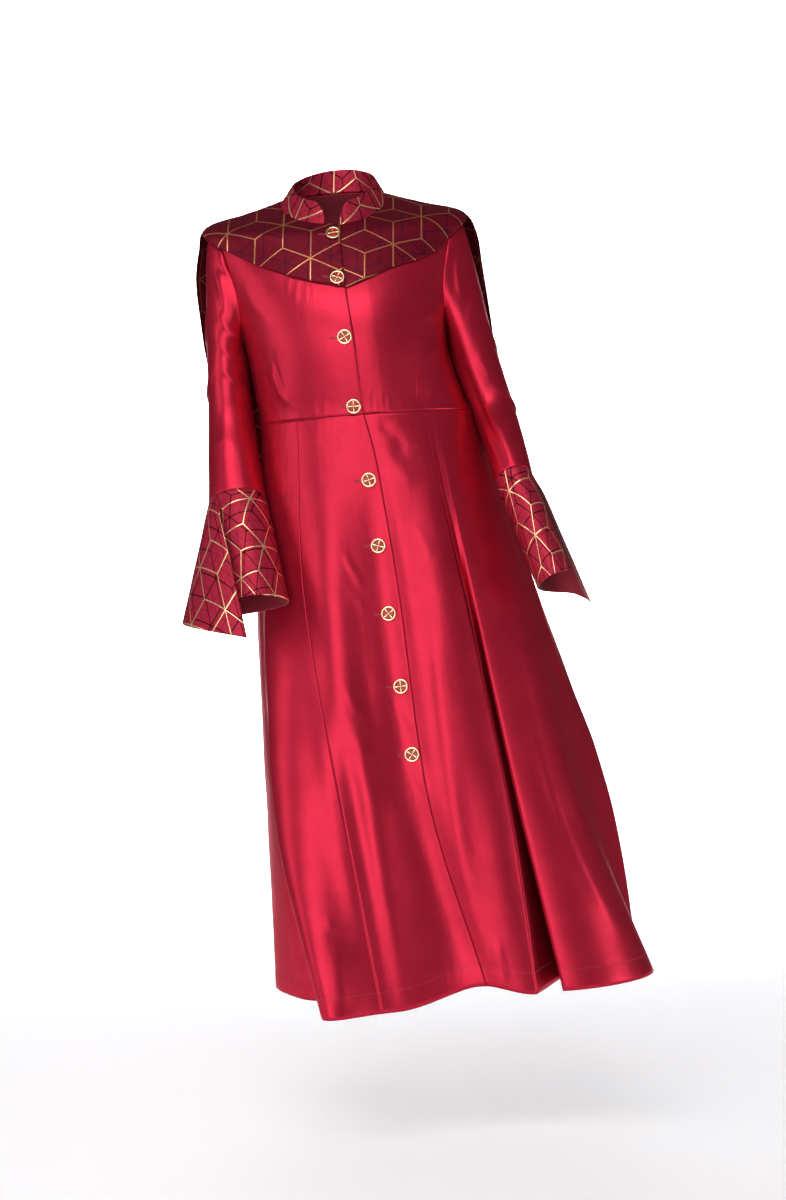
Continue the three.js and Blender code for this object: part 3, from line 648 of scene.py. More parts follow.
# The fitted body: fronts from the side lines to the button edge, and the back in one.
bodice = {
    "rows": 130,
    "underlap": 2.4,  # how far the left front lies inside the right front
    "underlapWide": 14,  # degrees
}
bodicePieces = {
    # degrees from the front edge, armhole sides, columns, kinds of edge, flat cut in metres, its area
    "bodice_front_right": {
        "angles": (-90, 0), "sides": ("front", None), "columns": 90,
        "edges": ("seam", "folded", "waist", "seam"),
        "flat": (0.29, 0.51), "area": 0.088,
    },
    "bodice_front_left": {
        "angles": (-9, 90), "sides": (None, "front"), "columns": 100,
        "edges": ("folded", "seam", "waist", "seam"),
        "flat": (0.29, 0.51), "area": 0.092,
    },
    "bodice_back": {
        "angles": (90, 270), "sides": ("back", "back"), "columns": 170,
        "edges": ("seam", "seam", "waist", "seam"),
        "flat": (0.50, 0.50), "area": 0.181,
    },
}
robeSurfaces = {}
for k, (name, look) in enumerate(bodicePieces.items()):
    (start, end), sides = look["angles"], look["sides"]

    def angleAt(u, at):
        low = start + (armholeAt(at, sides[0]) if sides[0] else 0)
        high = end - (armholeAt(at, sides[1]) if sides[1] else 0)
        return mix(low, high, u)

    def underlap(u, at):
        return bodice["underlap"] * (1 - ease(angleAt(u, at), 0, bodice["underlapWide"]))

    look.update({"cloth": "satin", "node": name, "held": "hung", "rests": [], "seed": 10 * k})
    robeSurfaces[name] = clothPiece(
        name, look, lambda u, at: bodicePoint(angleAt(u, at), at),
        spread(0, 1, look["columns"]), spread(0, level["neckline"], bodice["rows"]), 1, bodiceCreases,
        sink=underlap if name == "bodice_front_left" else None,
    )
print("bodice made")

# The skirt's form: lines that run from the waist to the hem, through the hip and the knee.
hipHeight = -622
kneeHeight = -1005
skirtLines = [
    # name, angle on the waist seam, hip x y, knee x y, hem x y z
    ("front edge", 0, 101, -158, 150, -190, 248, -216, -1276),
    ("left front crest", 17, 144, -168, 208, -206, 288, -226, -1300),
    ("pleat lip, front", 33, 203, -142, 284, -176, 328, -218, -1304),
    ("pleat hollow", 36, 213, -129, 308, -100, 382, -82, -1306),
    ("pleat lip, side", 40, 221, -136, 302, -162, 372, -192, -1306),
    ("left side crest", 56, 262, -122, 392, -142, 498, -166, -1305),
    ("left side turn", 76, 306, -72, 411, -76, 551, -8, -1309),
    ("left side hollow", 90, 327, -8, 430, 14, 496, 66, -1310),
    ("left side seam", 103, 329, 36, 480, 92, 545, 150, -1318),
    ("left back hollow", 121, 278, 96, 392, 146, 446, 176, -1316),
    ("left back crest", 142, 206, 140, 306, 226, 368, 300, -1312),
    ("left back dip", 160, 130, 152, 206, 206, 262, 236, -1310),
    ("back seam", 180, 58, 160, 112, 244, 168, 312, -1308),
    ("right back dip", 200, -12, 150, 34, 192, 78, 220, -1307),
    ("right back crest", 221, -70, 124, -40, 198, -20, 262, -1306),
    ("right back hollow", 242, -108, 82, -88, 112, -72, 132, -1304),
    ("right side seam", 262, -131, 26, -120, 42, -112, 48, -1302),
    ("right side dip", 280, -127, -24, -104, -50, -58, -62, -1310),
    ("right side hollow", 294, -118, -52, -84, -116, -8, -112, -1312),
    ("right side crest", 304, -104, -84, -88, -196, -8, -300, -1310),
    ("right front swell", 312, -78, -112, -34, -230, 30, -290, -1311),
    ("right front seam", 320, -50, -132, 22, -208, 88, -236, -1312),
    ("right front crest", 331, -14, -162, 68, -226, 118, -252, -1314),
    ("right front hollow", 343, 26, -152, 102, -196, 168, -216, -1303),
    ("button swell", 352, 68, -163, 128, -199, 210, -214, -1290),
]
line = {row[0]: i for i, row in enumerate(skirtLines)}
lineTable = np.array([row[1:] for row in skirtLines], float)
linesRound = len(skirtLines)


# A point of the skirt: along the lines round the robe, and down from the waist (0) to the hem (3).
def skirtPoint(around, down):
    around, down = np.broadcast_arrays(np.asarray(around, float), np.asarray(down, float))
    i = np.floor(around).astype(int)
    near = [lineTable[(i + k) % linesRound] for k in (-1, 0, 1, 2)]
    angles = [row[..., 0] + 360 * ((i + k) // linesRound) for k, row in zip((-1, 0, 1, 2), near)]
    angle = curvePoint(*[vector(turn, 0, 0) for turn in angles], around - i)[..., 0]

    def ring(x, y, z):
        places = [vector(row[..., x], row[..., y], z(row) + roll * row[..., x]) for row in near]
        return curvePoint(*places, around - i)

    rings = [
        bodicePoint(angle, 0),
        ring(1, 2, lambda row: hipHeight),
        ring(3, 4, lambda row: kneeHeight),
        ring(5, 6, lambda row: row[..., 7]),
    ]
    return alongPoints(np.stack(rings), down)


skirtCreases = [
    # name, view, ends, bow, wide, high, steep
    ("right front lobe", "front", 40, -800, 104, -1300, 4, 27, 5.5, 0.2),
    ("right front nick", "front", -12, -1160, 32, -1182, 4, 7, 2.0, 0.3),
    ("left front long fold", "front", 160, -640, 232, -1180, 10, 16, 2.8, 0.4),
    ("left side long fold", "front", 330, -880, 470, -1200, 14, 14, 3.4, 0.4),
    ("left side soft fold", "front", 286, -600, 372, -1000, 10, 18, 2.6, 0.3),
    ("left hem fold", "front", 262, -1190, 276, -1282, 0, 10, 2.0, 0),
    ("right hem fold", "front", 4, -1200, 20, -1300, 0, 12, 2.2, 0),
    ("placket valley", "front", 60, -420, 132, -1010, 4, 27, -8.5, 0),
    ("left front crest", "front", 150, -400, 222, -1020, 4, 31, 6.5, 0),
    ("placket valley, lower", "front", 126, -950, 228, -1275, 4, 32, -9.0, 0),
    ("placket swell", "front", -6, -420, 22, -960, 3, 32, 8.0, 0),
    ("pleat lip swell", "front", 172, -470, 308, -1250, 0, 34, 6.0, 0),
    ("placket dip, lower", "front", 44, -730, 84, -985, 4, 18, -3.0, 0),
    ("placket dent 1", "front", 18, -572, 50, -628, 3, 6, 1.3, 0.2),
    ("placket dent 2", "front", 24, -640, 52, -668, -3, 5, 1.0, 0.2),
    ("placket dent 3", "front", 22, -790, 60, -858, 4, 7, 1.5, 0.2),
    ("placket dent 4", "front", 36, -880, 74, -902, 3, 6, 1.2, 0.2),
    ("left front pull", "front", 66, -358, 124, -414, -4, 11, -2.6, 0),
    ("left front pull, ridge", "front", 70, -392, 132, -470, -4, 14, 1.8, 0),
    ("left front dent 1", "front", 118, -896, 162, -968, 5, 8, 1.6, 0.3),
    ("left front dent 2", "front", 104, -806, 134, -858, 4, 7, 1.1, 0.2),
    ("left front dent 3", "front", 128, -520, 156, -590, -4, 8, 1.0, 0.2),
    ("fold valley", "front", 17, -850, 101, -1310, 0, 14, -4.0, 0),
    ("side lobe", "front", -24, -800, 58, -1240, 6, 26, 5.0, 0.3),
    ("side lobe dent", "front", -6, -1165, 36, -1190, 3, 10, -1.8, 0),
    ("right side soft fold", "right", -60, -560, -120, -1100, 8, 18, 3.0, 0.3),
    ("right side fine fold", "right", 12, -420, 16, -820, 5, 11, 1.8, 0.3),
    ("left side fall", "left", -20, -420, 10, -900, 8, 16, 2.6, 0.3),
    ("left side lower fall", "left", 62, -760, 110, -1240, 8, 15, 2.8, 0.3),
    ("back fall 1", "back", -40, -420, -10, -980, 10, 18, 3.0, 0.3),
    ("back fall 2", "back", 24, -380, 60, -820, 6, 14, 2.4, 0.3),
    ("back fall 3", "back", 110, -400, 190, -1050, 8, 20, 3.2, 0.3),
    ("back fall 4", "back", 180, -400, 280, -900, 8, 16, 2.4, 0.3),
    ("back hem fold", "back", 210, -1100, 236, -1290, 4, 14, 3.0, 0),
]
skirt = {
    "rows": 130,
    "perLine": 16,
    "softPasses": 300,
    "softShare": [
        # line (see skirtLines), share of the softening there; the pleat and the deep fold at the
        # right stay sharp
        (0, 1), (1, 1), (2, 0), (4, 0), (5, 0.5), (8, 0.3), (12, 0.25), (16, 0.3), (16.6, 0.3), (17.2, 0),
        (18.8, 0), (19.6, 0.6), (21, 0.7), (23, 0.8), (25, 1),
    ],
    "softFull": 0.4,  # how far down the softening is full: 0 is the waist, 1 the hip, 2 the knee, 3 the hem
    "pleatDeeper": 30,  # millimetres that the pressed pleat runs in behind the solid's hollow, low down
    "pleatDeepens": (0.8, 2.4),  # how far down that starts and is full
    "underlap": 2.4,
    "underlapWide": 0.5,  # lines
    "underlapEnd": 0.875,  # lines that the left front runs on under the right front
}
hem = {
    "line": 34,  # millimetres from the hem up to its sewn line
    "lineDeep": 0.7,
    "lineWide": 1.6,
    "pucker": 0.35,
    "puckerWide": 9,
    "stitch": 3.0,
    "spacing": 4.6,
    "threadThick": 0.45,
    "threadFlat": 0.7,  # its height and the height of its middle over the cloth, as shares of that
    "threadLift": 0.3,
}

# The skirt's gores, each from one line to another; the left side gore starts in the open pleat.
skirtPieces = {
    "skirt_front_left": {
        "lines": (-skirt["underlapEnd"], line["pleat lip, front"]),
        "edges": ("folded", "none", "waist", "hem"),
        "flat": (0.19, 0.97), "area": 0.136,
    },
    "skirt_side_left": {
        "lines": (line["pleat lip, front"], line["left side seam"]),
        "edges": ("none", "seam", "waist", "hem"),
        "flat": (0.76, 1.01), "area": 0.404,
    },
    "skirt_back_left": {
        "lines": (line["left side seam"], line["back seam"]), "edges": ("seam", "seam", "waist", "hem"),
        "flat": (0.46, 1.01), "area": 0.342,
    },
    "skirt_back_right": {
        "lines": (line["back seam"], line["right side seam"]), "edges": ("seam", "seam", "waist", "hem"),
        "flat": (0.43, 0.98), "area": 0.288,
    },
    "skirt_side_right": {
        "lines": (line["right side seam"], line["right front seam"]),
        "edges": ("seam", "flush", "waist", "hem"),
        "flat": (0.48, 1.00), "area": 0.276,
    },
    "skirt_front_right": {
        "lines": (line["right front seam"], linesRound), "edges": ("flush", "folded", "waist", "hem"),
        "flat": (0.19, 0.98), "area": 0.147,
    },
}
count = round(linesRound * skirt["perLine"] * detail)
downs = spread(0, 3, skirt["rows"])
lines = np.arange(count) * linesRound / count
skirtRing = skirtPoint(lines[:, None], downs[None])

# The pleat is pressed flat, so its two walls run straight from the lips to the hollow.
lip, hollow, farLip = [
    round(line[end] * count / linesRound) for end in ("pleat lip, front", "pleat hollow", "pleat lip, side")
]
skirtRing[hollow, :, 1] += skirt["pleatDeeper"] * ease(downs, *skirt["pleatDeepens"])
for first, last in ((lip, hollow), (hollow, farLip)):
    share = np.linspace(0, 1, last - first + 1)[1:-1, None, None]
    skirtRing[first + 1 : last] = mix(skirtRing[first], skirtRing[last], share)
skirtRing = softened(
    skirtRing, round(skirt["softPasses"] * detail**2),
    np.interp(lines, *np.array(skirt["softShare"]).T)[:, None] * ease(downs, 0, skirt["softFull"]),
)


def skirtForm(around, down):
    column = np.round(around * count / linesRound).astype(int) % count
    return skirtRing[column, np.searchsorted(downs, down - 1e-6)]


def skirtUnderlap(around, down):
    return skirt["underlap"] * (1 - ease(around, 0, skirt["underlapWide"]))


for k, (name, look) in enumerate(skirtPieces.items()):
    start, end = look["lines"]
    look.update({"cloth": "satin", "node": name, "held": "hung", "rests": [], "seed": 100 + 10 * k})
    robeSurfaces[name] = clothPiece(
        name, look, skirtForm,
        np.linspace(start, end, round((end - start) * count / linesRound) + 1), downs, -1, skirtCreases,
        sink=skirtUnderlap if name == "skirt_front_left" else None,
    )
print("skirt made")

# The hem's sewn line: single stitches lying on the cloth, a line's width above it.
stitches, lays = [], []
for name in skirtPieces:
    points, normals = robeSurfaces[name]
    _, _, _, fromEnd = gridRuns(points)
    row, up = [
        np.array([
            [np.interp(hem["line"], away[::-1], column[::-1, axis]) for axis in range(3)]
            for column, away in zip(grid, fromEnd)
        ])
        for grid in (points, normals)
    ]
    up = unit(up)
    run = np.concatenate([[0], np.cumsum(np.linalg.norm(np.diff(row, axis=0), axis=1))])
    for start in np.arange(hem["spacing"] / 2, run[-1] - hem["spacing"], hem["spacing"] / detail):
        at = start + np.linspace(0, hem["stitch"], 5)
        path = np.stack([np.interp(at, run, row[:, axis]) for axis in range(3)], axis=-1)
        lay = np.stack([np.interp(at, run, up[:, axis]) for axis in range(3)], axis=-1)
        stitches.append(path + lay * hem["threadThick"] * hem["threadLift"])
        lays.append(lay)
threads = tubes(stitches, lays, hem["threadThick"], hem["threadThick"] * hem["threadFlat"])
obj = joined("hem_stitching", threads, [thread])
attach(obj, "root")
print("hem stitching made")

# The sleeves' form: sections down each arm, and a rounded head into the armhole.
sleeve = {
    "columns": 110,
    "rows": 150,
    "headBulge": 46,
    "underarmBulge": 10,
    "headFall": 1.1,  # how straight the sleeve leaves its head, as a share of the head's length
    "standoff": 0.4,
}
rightSleeveSections = [
    # centre x y z, half width across, half depth
    (-182, 4, -250, 33, 58),
    (-176, -2, -338, 37, 53),
    (-168, -36, -414, 42, 47),
    (-160, -72, -486, 47, 41),
]
leftSleeveSections = [
    # as for the right sleeve
    (240, 2, -252, 38, 56),
    (267, -14, -330, 35, 49),
    (283, -56, -390, 33, 43),
    (298, -94, -452, 31, 39),
]


def armPoint(section, axis, angle, out):
    x, y, z, across, deep = section
    front = unit(np.array([0, -1, 0]) + axis * axis[1])
    outer = unit(np.cross(front, axis))
    outer = outer if outer[0] * out > 0 else -outer
    c, s = np.cos(np.radians(angle))[..., None], np.sin(np.radians(angle))[..., None]
    return np.array([x, y, z], float) + outer * across * c + front * deep * s


def armholePoint(angle, out):
    lap = angle % 360
    at = mix(level["shoulder"], underarm, (1 - np.cos(np.radians(angle))) / 2)
    away = np.where(lap < 180, -armholeAt(at, "front"), armholeAt(at, "back"))
    return bodicePoint(out * (90 + away), at)


def sleeveAxis(sections, i):
    a, b = sections[max(0, i - 1)], sections[min(len(sections) - 1, i + 1)]
    return unit(np.array(b[:3], float) - np.array(a[:3], float))


# A sleeve's point: down runs 0 to 1 over the sleeve head, then 1 more for each section.
def sleevePoint(sections, out, angle, down):
    rings = np.stack([armPoint(s, sleeveAxis(sections, i), angle, out) for i, s in enumerate(sections)])
    hole = armholePoint(angle, out) + np.array([out * sleeve["standoff"], 0, 0])
    fall = np.linalg.norm(rings[0] - hole, axis=-1, keepdims=True)
    under = (1 - np.cos(np.radians(angle))) / 2
    away = vector(out * mix(sleeve["headBulge"], sleeve["underarmBulge"], under), 0, 0)
    end = unit(rings[1] - rings[0]) * sleeve["headFall"] * fall
    t = np.clip(down, 0, 1)[..., None]
    head = (
        hole * (2 * t**3 - 3 * t**2 + 1)
        + away * (t**3 - 2 * t**2 + t)
        + rings[0] * (3 * t**2 - 2 * t**3)
        + end * (t**3 - t**2)
    )
    return np.where(down[..., None] < 1, head, alongPoints(rings, np.maximum(down - 1, 0)))


rightSleeveCreases = [
    # name, view, ends, bow, wide, high, steep
    ("head fold 1", "front", -190, -64, -168, -120, 5, 7, 3.2, 0.3),
    ("head hollow", "front", -178, -50, -164, -150, 4, 8, -3.4, 0),
    ("head fold 2", "front", -204, -96, -182, -180, -6, 9, 3.0, 0.3),
    ("drag 1", "front", -196, -170, -150, -214, 8, 8, 2.8, 0.4),
    ("drag 2", "front", -202, -212, -152, -252, 6, 7, 2.2, 0.4),
    ("drag 3", "front", -190, -262, -150, -290, 5, 7, 1.8, 0.4),
    ("elbow pucker 1", "front", -158, -236, -146, -276, 3, 5, 1.5, 0),
    ("elbow pucker 2", "front", -150, -286, -144, -322, 2, 5, 1.2, 0),
    ("forearm fold", "front", -198, -384, -158, -398, -3, 12, 0.8, 0.3),
    ("forearm long fold", "front", -182, -290, -178, -480, 4, 13, 1.4, 0.3),
    ("outer fold 1", "right", -30, -150, 20, -230, 8, 10, 2.6, 0.3),
    ("outer fold 2", "right", -46, -260, 26, -320, 8, 10, 2.4, 0.3),
    ("elbow back fold 1", "back", -200, -300, -152, -326, 6, 8, 2.6, 0.4),
    ("elbow back fold 2", "back", -198, -348, -150, -360, 5, 8, 2.8, 0.4),
    ("back head fold", "back", -196, -90, -164, -170, 6, 9, 2.6, 0.3),
]
leftSleeveCreases = [
    # name, view, ends, bow, wide, high, steep
    ("main ridge", "front", 202, -180, 302, -440, 6, 11, 2.8, 0.35),
    ("ridge trough", "front", 218, -250, 290, -440, 2, 5, -1.8, 0),
    ("second ridge", "front", 212, -262, 282, -440, 2, 5, 1.8, 0.2),
    ("head fold 1", "front", 206, -70, 214, -150, 4, 8, 2.6, 0.3),
    ("head fold 2", "front", 226, -84, 226, -190, -5, 9, 2.2, 0.3),
    ("drag", "front", 232, -236, 262, -290, -5, 9, 1.2, 0.3),
    ("outer fold 1", "left", -32, -160, 20, -240, 8, 10, 2.6, 0.3),
    ("outer fold 2", "left", -60, -290, 10, -340, 8, 10, 2.4, 0.3),
    ("elbow back fold 1", "back", 244, -290, 292, -318, 6, 8, 2.6, 0.4),
    ("elbow back fold 2", "back", 250, -336, 300, -352, 5, 8, 2.8, 0.4),
    ("back head fold", "back", 214, -90, 206, -170, 6, 9, 2.6, 0.3),
]

# Set-in sleeves, each one tube from the armhole to the cuff seam.
sleevePieces = {
    "sleeve_right": {
        "sections": rightSleeveSections, "out": -1, "creases": rightSleeveCreases,
        "flat": (0.40, 0.49), "area": 0.113,
    },
    "sleeve_left": {
        "sections": leftSleeveSections, "out": 1, "creases": leftSleeveCreases,
        "flat": (0.40, 0.49), "area": 0.113,
    },
}
for k, (name, look) in enumerate(sleevePieces.items()):
    look.update({"cloth": "satin", "node": name, "held": "hung", "rests": [], "seed": 200 + 10 * k})
    look["edges"] = ("none", "none", "gathered", "seam")
    columns = round(sleeve["columns"] * detail)
    clothPiece(
        name, look, lambda angle, down: sleevePoint(look["sections"], look["out"], angle, down),
        np.arange(columns) * 360 / columns, spread(0, len(look["sections"]), sleeve["rows"]), look["out"],
        look["creases"], closed=True,
    )
print("sleeves made")

# The cuffs' form: each hem's points, and a flap over the slit.
rightCuffHem = [
    # angle on the cuff seam, x y z of the hem: from the slit round the arm to the flap's corner
    (52, -172, -164, -653),
    (72, -144, -184, -645),
    (100, -117, -188, -642),
    (135, -88, -176, -646),
    (172, -71, -156, -654),
    (210, -80, -134, -661),
    (250, -112, -118, -668),
    (285, -156, -110, -676),
    (322, -206, -114, -683),
    (352, -243, -138, -688),
    (374, -236, -176, -693),
    (390, -206, -208, -699),
    (402, -170, -224, -705),
    (412, -134, -232, -711),
]
leftCuffHem = [
    # as for the right cuff
    (20, 385, -180, -602),
    (48, 368, -196, -605),
    (84, 350, -196, -612),
    (125, 336, -182, -624),
    (165, 334, -154, -632),
    (205, 345, -124, -636),
    (245, 366, -104, -638),
    (290, 394, -98, -640),
    (330, 414, -112, -648),
    (372, 421, -144, -655),
]
cuff = {
    "columns": 130,
    "rows": 60,
    "flapPoints": 5,  # hem points in the flap that lies over the slit
    "flapLift": 5,
}


# A cuff's point: u runs along the hem's points, v from the sleeve (0) down to the hem (1).
def cuffPoint(sections, hemPoints, out, u, v):
    rows = np.array(hemPoints, float)
    turn = alongPoints(vector(rows[:, 0], 0, 0)[:, None, None, :], u)[..., 0]
    top = armPoint(sections[-1], sleeveAxis(sections, len(sections) - 1), turn, out)
    away = unit(top - np.array(sections[-1][:3], float))
    bottom = alongPoints(rows[:, None, None, 1:], u)
    inFlap = ease(u, len(rows) - cuff["flapPoints"], len(rows) - 2)
    lift = cuff["flapLift"] * inFlap * ease(v, 0, 0.2) * (1 - v)
    return mix(top, bottom, v[..., None]) + away * lift[..., None]


# Flared cuffs, split down the outer side with a flap over the split; the pattern runs with the
# cloth's straight grain over a fan-shaped cut.
cuffPieces = {
    "cuff_right": {
        "sections": rightSleeveSections, "hem": rightCuffHem, "out": -1,
        "fan": 112, "grain": 33, "start": (-212.8, -141.2), "flat": (0.49, 0.29), "area": 0.077,
    },
    "cuff_left": {
        "sections": leftSleeveSections, "hem": leftCuffHem, "out": 1,
        "fan": 70, "grain": -1, "start": (-79.4, -290.6), "flat": (0.30, 0.24), "area": 0.046,
    },
}
for k, (name, look) in enumerate(cuffPieces.items()):
    last = len(look["hem"]) - 1

    def fanned(u, v, form, flat):
        fan = math.radians(look["fan"])
        top = np.linalg.norm(np.diff(form[:, 0], axis=0), axis=-1).sum()
        reach = top / fan + flat[..., 1]
        turn = u / last * fan + math.radians(look["grain"])
        return np.stack([reach * np.sin(turn), reach * np.cos(turn)], axis=-1) + np.array(look["start"])

    look.update({"cloth": "brocade", "node": name, "held": "hung", "rests": [], "seed": 300 + 10 * k})
    look["edges"] = ("folded", "folded", "seam", "folded")
    clothPiece(
        name, look, lambda u, v: cuffPoint(look["sections"], look["hem"], look["out"], u, v),
        spread(0, last, cuff["columns"]), spread(0, 1, cuff["rows"]), look["out"], [], pattern=fanned,
    )
print("cuffs made")

# The yoke's and cape's form: both follow the bodice over the shoulders, a little above it.
yoke = {
    "columns": 100,
    "rows": 60,
    "lift": 4.5,
    "overhang": 13,  # how far the shoulders' tips stand out over the sleeve heads
    "overhangReach": 1.4,  # bodice levels over which that dies away
    "underlap": 2.3,
    "underlapWide": 10,  # degrees
    "slope": (0.74, 0.67),  # how much the figure rises with height and with depth
    "turn": 30,  # degrees from the figure's rows to its upright lines
}
yokeHem = {
    # degrees from the front edge, bodice level of the hem
    "left": [
        (-7, 3.4), (0, 3.4), (13, 3.62), (25, 3.9), (40, 4.15),
        (53, 4.5), (63, 5), (72, 5.5), (80, 5.8), (90, 6),
    ],
    "right": [(0, 3.4), (13, 3.58), (24, 3.8), (40, 4.3), (52, 4.75), (66, 5.3), (78, 5.75), (90, 6)],
}
capeSections = [
    # z side and back, right, left, depth at the side and back, height of the folds
    (-44, -34, -232, 240, 20, 110, 0),
    (-92, -96, -239, 250, 50, 125, 0),
    (-170, -172, -231, 264, 76, 136, 4),
    (-320, -322, -206, 284, 90, 152, 11),
    (-500, -504, -180, 306, 96, 178, 17),
]


def yokePoint(angle, at):
    place = bodicePoint(angle, at)
    s = np.sin(np.radians(angle))
    nearTip = 1 - ease(np.abs(at - level["shoulder"]), 0, yoke["overhangReach"])
    return place + vector(np.sign(s) * yoke["overhang"] * np.abs(s) ** 6 * nearTip, 0, 0)


def overShoulder(angle, at):
    small = 0.05
    across = yokePoint(angle + small, at) - yokePoint(angle - small, at)
    up = yokePoint(angle, at + small) - yokePoint(angle, at - small)
    return yokePoint(angle, at) + unit(np.cross(across, up)) * yoke["lift"]


def yokeSurface(side, angle, v):
    edge = np.array(yokeHem[side], float)
    return overShoulder(angle, mix(level["neckline"], np.interp(np.abs(angle), edge[:, 0], edge[:, 1]), v))


def capePoint(angle, down):
    s, c = np.sin(np.radians(angle)), -np.cos(np.radians(angle))
    wave = np.cos(np.radians(cape["folds"] * (angle - 180) * 2)) * np.sqrt(np.abs(c))
    rings = [overShoulder(angle, at + 0 * angle) for at in (7, 6)]
    for zSide, zBack, right, left, side, back, fold in capeSections:
        x = (left + right) / 2 + s * (left - right) / 2
        rings.append(vector(x, mix(side, back, c) + fold * wave, mix(zSide, zBack, c) + roll * x))
    hanging = alongPoints(np.stack(rings), np.maximum(down - 1, 0))
    neckward = overShoulder(angle, np.clip(level["neckline"] - down, 6, 8))
    return np.where(down[..., None] <= 2, neckward, hanging)


capeCreases = [
    # name, view, ends, bow, wide, high, steep
    ("cape fall 1", "back", -150, -120, -130, -480, 8, 14, 2.6, 0.3),
    ("cape fall 2", "back", -52, -160, -44, -500, 6, 12, 2.0, 0.3),
    ("cape fall 3", "back", 118, -140, 136, -490, 6, 14, 2.4, 0.3),
    ("cape fall 4", "back", 226, -150, 256, -440, 6, 12, 2.2, 0.3),
    ("cape cross pull", "back", -30, -70, 96, -84, 8, 16, 1.6, 0),
]

# The short pointed yoke in front. Its figure is cut so that one set of lines stands upright.
yokePieces = {
    # side, degrees from the front edge, place of the figure's main star, its stretch, edges, flat cut
    "cape_front_right": {
        "side": "right", "angles": (-90, 0), "star": (-84, -68), "stretch": 1.05,
        "edges": ("seam", "folded", "seam", "folded"), "flat": (0.32, 0.15), "area": 0.030,
    },
    "cape_front_left": {
        "side": "left", "angles": (-7, 90), "star": (145, -56), "stretch": 1.2,
        "edges": ("folded", "seam", "seam", "folded"), "flat": (0.33, 0.16), "area": 0.032,
    },
}


def turned(spots, degrees):
    c, s = math.cos(math.radians(degrees)), math.sin(math.radians(degrees))
    return np.stack([spots[..., 0] * c - spots[..., 1] * s, spots[..., 0] * s + spots[..., 1] * c], axis=-1)


def yokeUnderlap(angle, v):
    return yoke["underlap"] * (1 - ease(angle, 0, yoke["underlapWide"]))


for k, (name, look) in enumerate(yokePieces.items()):
    def upright(u, v, form, flat):
        up, back = yoke["slope"]
        rising = (up * form[..., 2] + back * form[..., 1]) * look["stretch"]
        return turned(np.stack([form[..., 0], rising], axis=-1) - np.array(look["star"]), yoke["turn"])

    # The yoke takes the darker brocade copy, with painted shade.
    look.update({"cloth": "brocade", "across": True, "node": name, "held": "laid", "seed": 400 + 10 * k})
    look["rests"] = [name.replace("cape", "bodice")]
    robeSurfaces[name] = clothPiece(
        name, look, lambda angle, v: yokeSurface(look["side"], angle, v),
        spread(*look["angles"], yoke["columns"]), spread(0, 1, yoke["rows"]), -1, [],
        sink=yokeUnderlap if name == "cape_front_left" else None, pattern=upright,
    )

# The cape over the shoulders, hanging free behind the arms.
cape = {
    # as on the yoke, the darker brocade copy with painted shade
    "cloth": "brocade", "across": True, "node": "cape_back", "held": "draped", "rests": ["bodice_back"],
    "seed": 450, "edges": ("folded", "folded", "seam", "folded"), "flat": (0.60, 0.66), "area": 0.313,
    "angles": (90, 270),  # degrees from the front edge
    "columns": 160,
    "rows": 120,
    "folds": 4,
    "start": (12, 30),  # place of a star of the figure, which is turned as on the yoke
    "lined": True,  # the cape is made double, of the same brocade
}
clothPiece(
    "cape_back", cape, capePoint,
    spread(*cape["angles"], cape["columns"]), spread(0, len(capeSections) + 2, cape["rows"]), -1, capeCreases,
    pattern=lambda u, v, form, flat: turned(flat - np.array(cape["start"]), yoke["turn"]),
)
print("yoke and cape made")

# The stand collar: a stiffened band with rounded edges, in a section run round the neck.
collar = {
    "height": 41,
    "thick": 2.2,
    "wall": 2.4,  # of its solid, whose inner face stands on the neckline
    "lean": 0.25,  # how far it leans in to the neck, and what share of that at its back
    "leanBack": 0.4,
    "from": 0.5,  # degrees on the neckline, from the front edge
    "to": 345,
    "perDegree": 1.5,  # millimetres of the neckline to a degree
    "round": 27,  # radius of its front corners
    "roundCut": 0.92,
    "foot": 0.02,  # share of the height left free above the neckline
    "sectionPoints": 26,
    "corner": 24,  # degrees at each end with closer columns, for the round corners
    "cornerColumns": 40,
    "columns": 150,
    "flat": (0.51, 0.082),  # cut double and folded along its top
}


def collarPoint(turn, rise):
    base = bodicePoint(turn, level["neckline"])
    backward = collar["lean"] * collar["leanBack"] * np.maximum(base[..., 1], 0)
    lean = vector(-collar["lean"] * base[..., 0], -backward, 0)
    up = np.sqrt(collar["height"] ** 2 - (lean**2).sum(-1))
    return base + lean * rise[..., None] + vector(0, 0, up * rise)


def collarShare(turn):
    run = np.maximum(np.minimum(turn - collar["from"], collar["to"] - turn), 0) * collar["perDegree"]
    return np.sqrt(1 - (1 - np.minimum(run / collar["round"], 1)) ** 2 * collar["roundCut"])


corner = np.linspace(0, 1, collar["cornerColumns"]) ** 2 * collar["corner"]
turns = np.unique(np.concatenate([
    collar["from"] + corner,
    np.linspace(
        collar["from"] + collar["corner"], collar["to"] - collar["corner"], round(collar["columns"] * detail),
    ),
    collar["to"] - corner,
]))
laps = np.linspace(0, 1, collar["sectionPoints"] * 2 + 1)[:-1]
turn, lap = np.meshgrid(turns, laps, indexing="ij")
up = np.where(lap < 0.5, lap * 2, 2 - lap * 2)
side = np.where(lap < 0.5, 1, -1)
share = collarShare(turn)
rise = mix(collar["foot"], share, up)
base = collarPoint(turn, rise)
along = collarPoint(turn + 0.05, rise) - collarPoint(turn - 0.05, rise)
normals = unit(np.cross(along, collarPoint(turn, rise + 0.01) - collarPoint(turn, rise - 0.01)))
gapTop = (share - rise) * collar["height"]
gapEnd = np.maximum(np.minimum(turn - collar["from"], collar["to"] - turn) * collar["perDegree"], 0)
inward = np.clip(np.minimum(gapTop, gapEnd) / (collar["thick"] / 2), 0, 1)
rounding = np.sqrt(np.clip(1 - (1 - inward) ** 2, 0, 1))
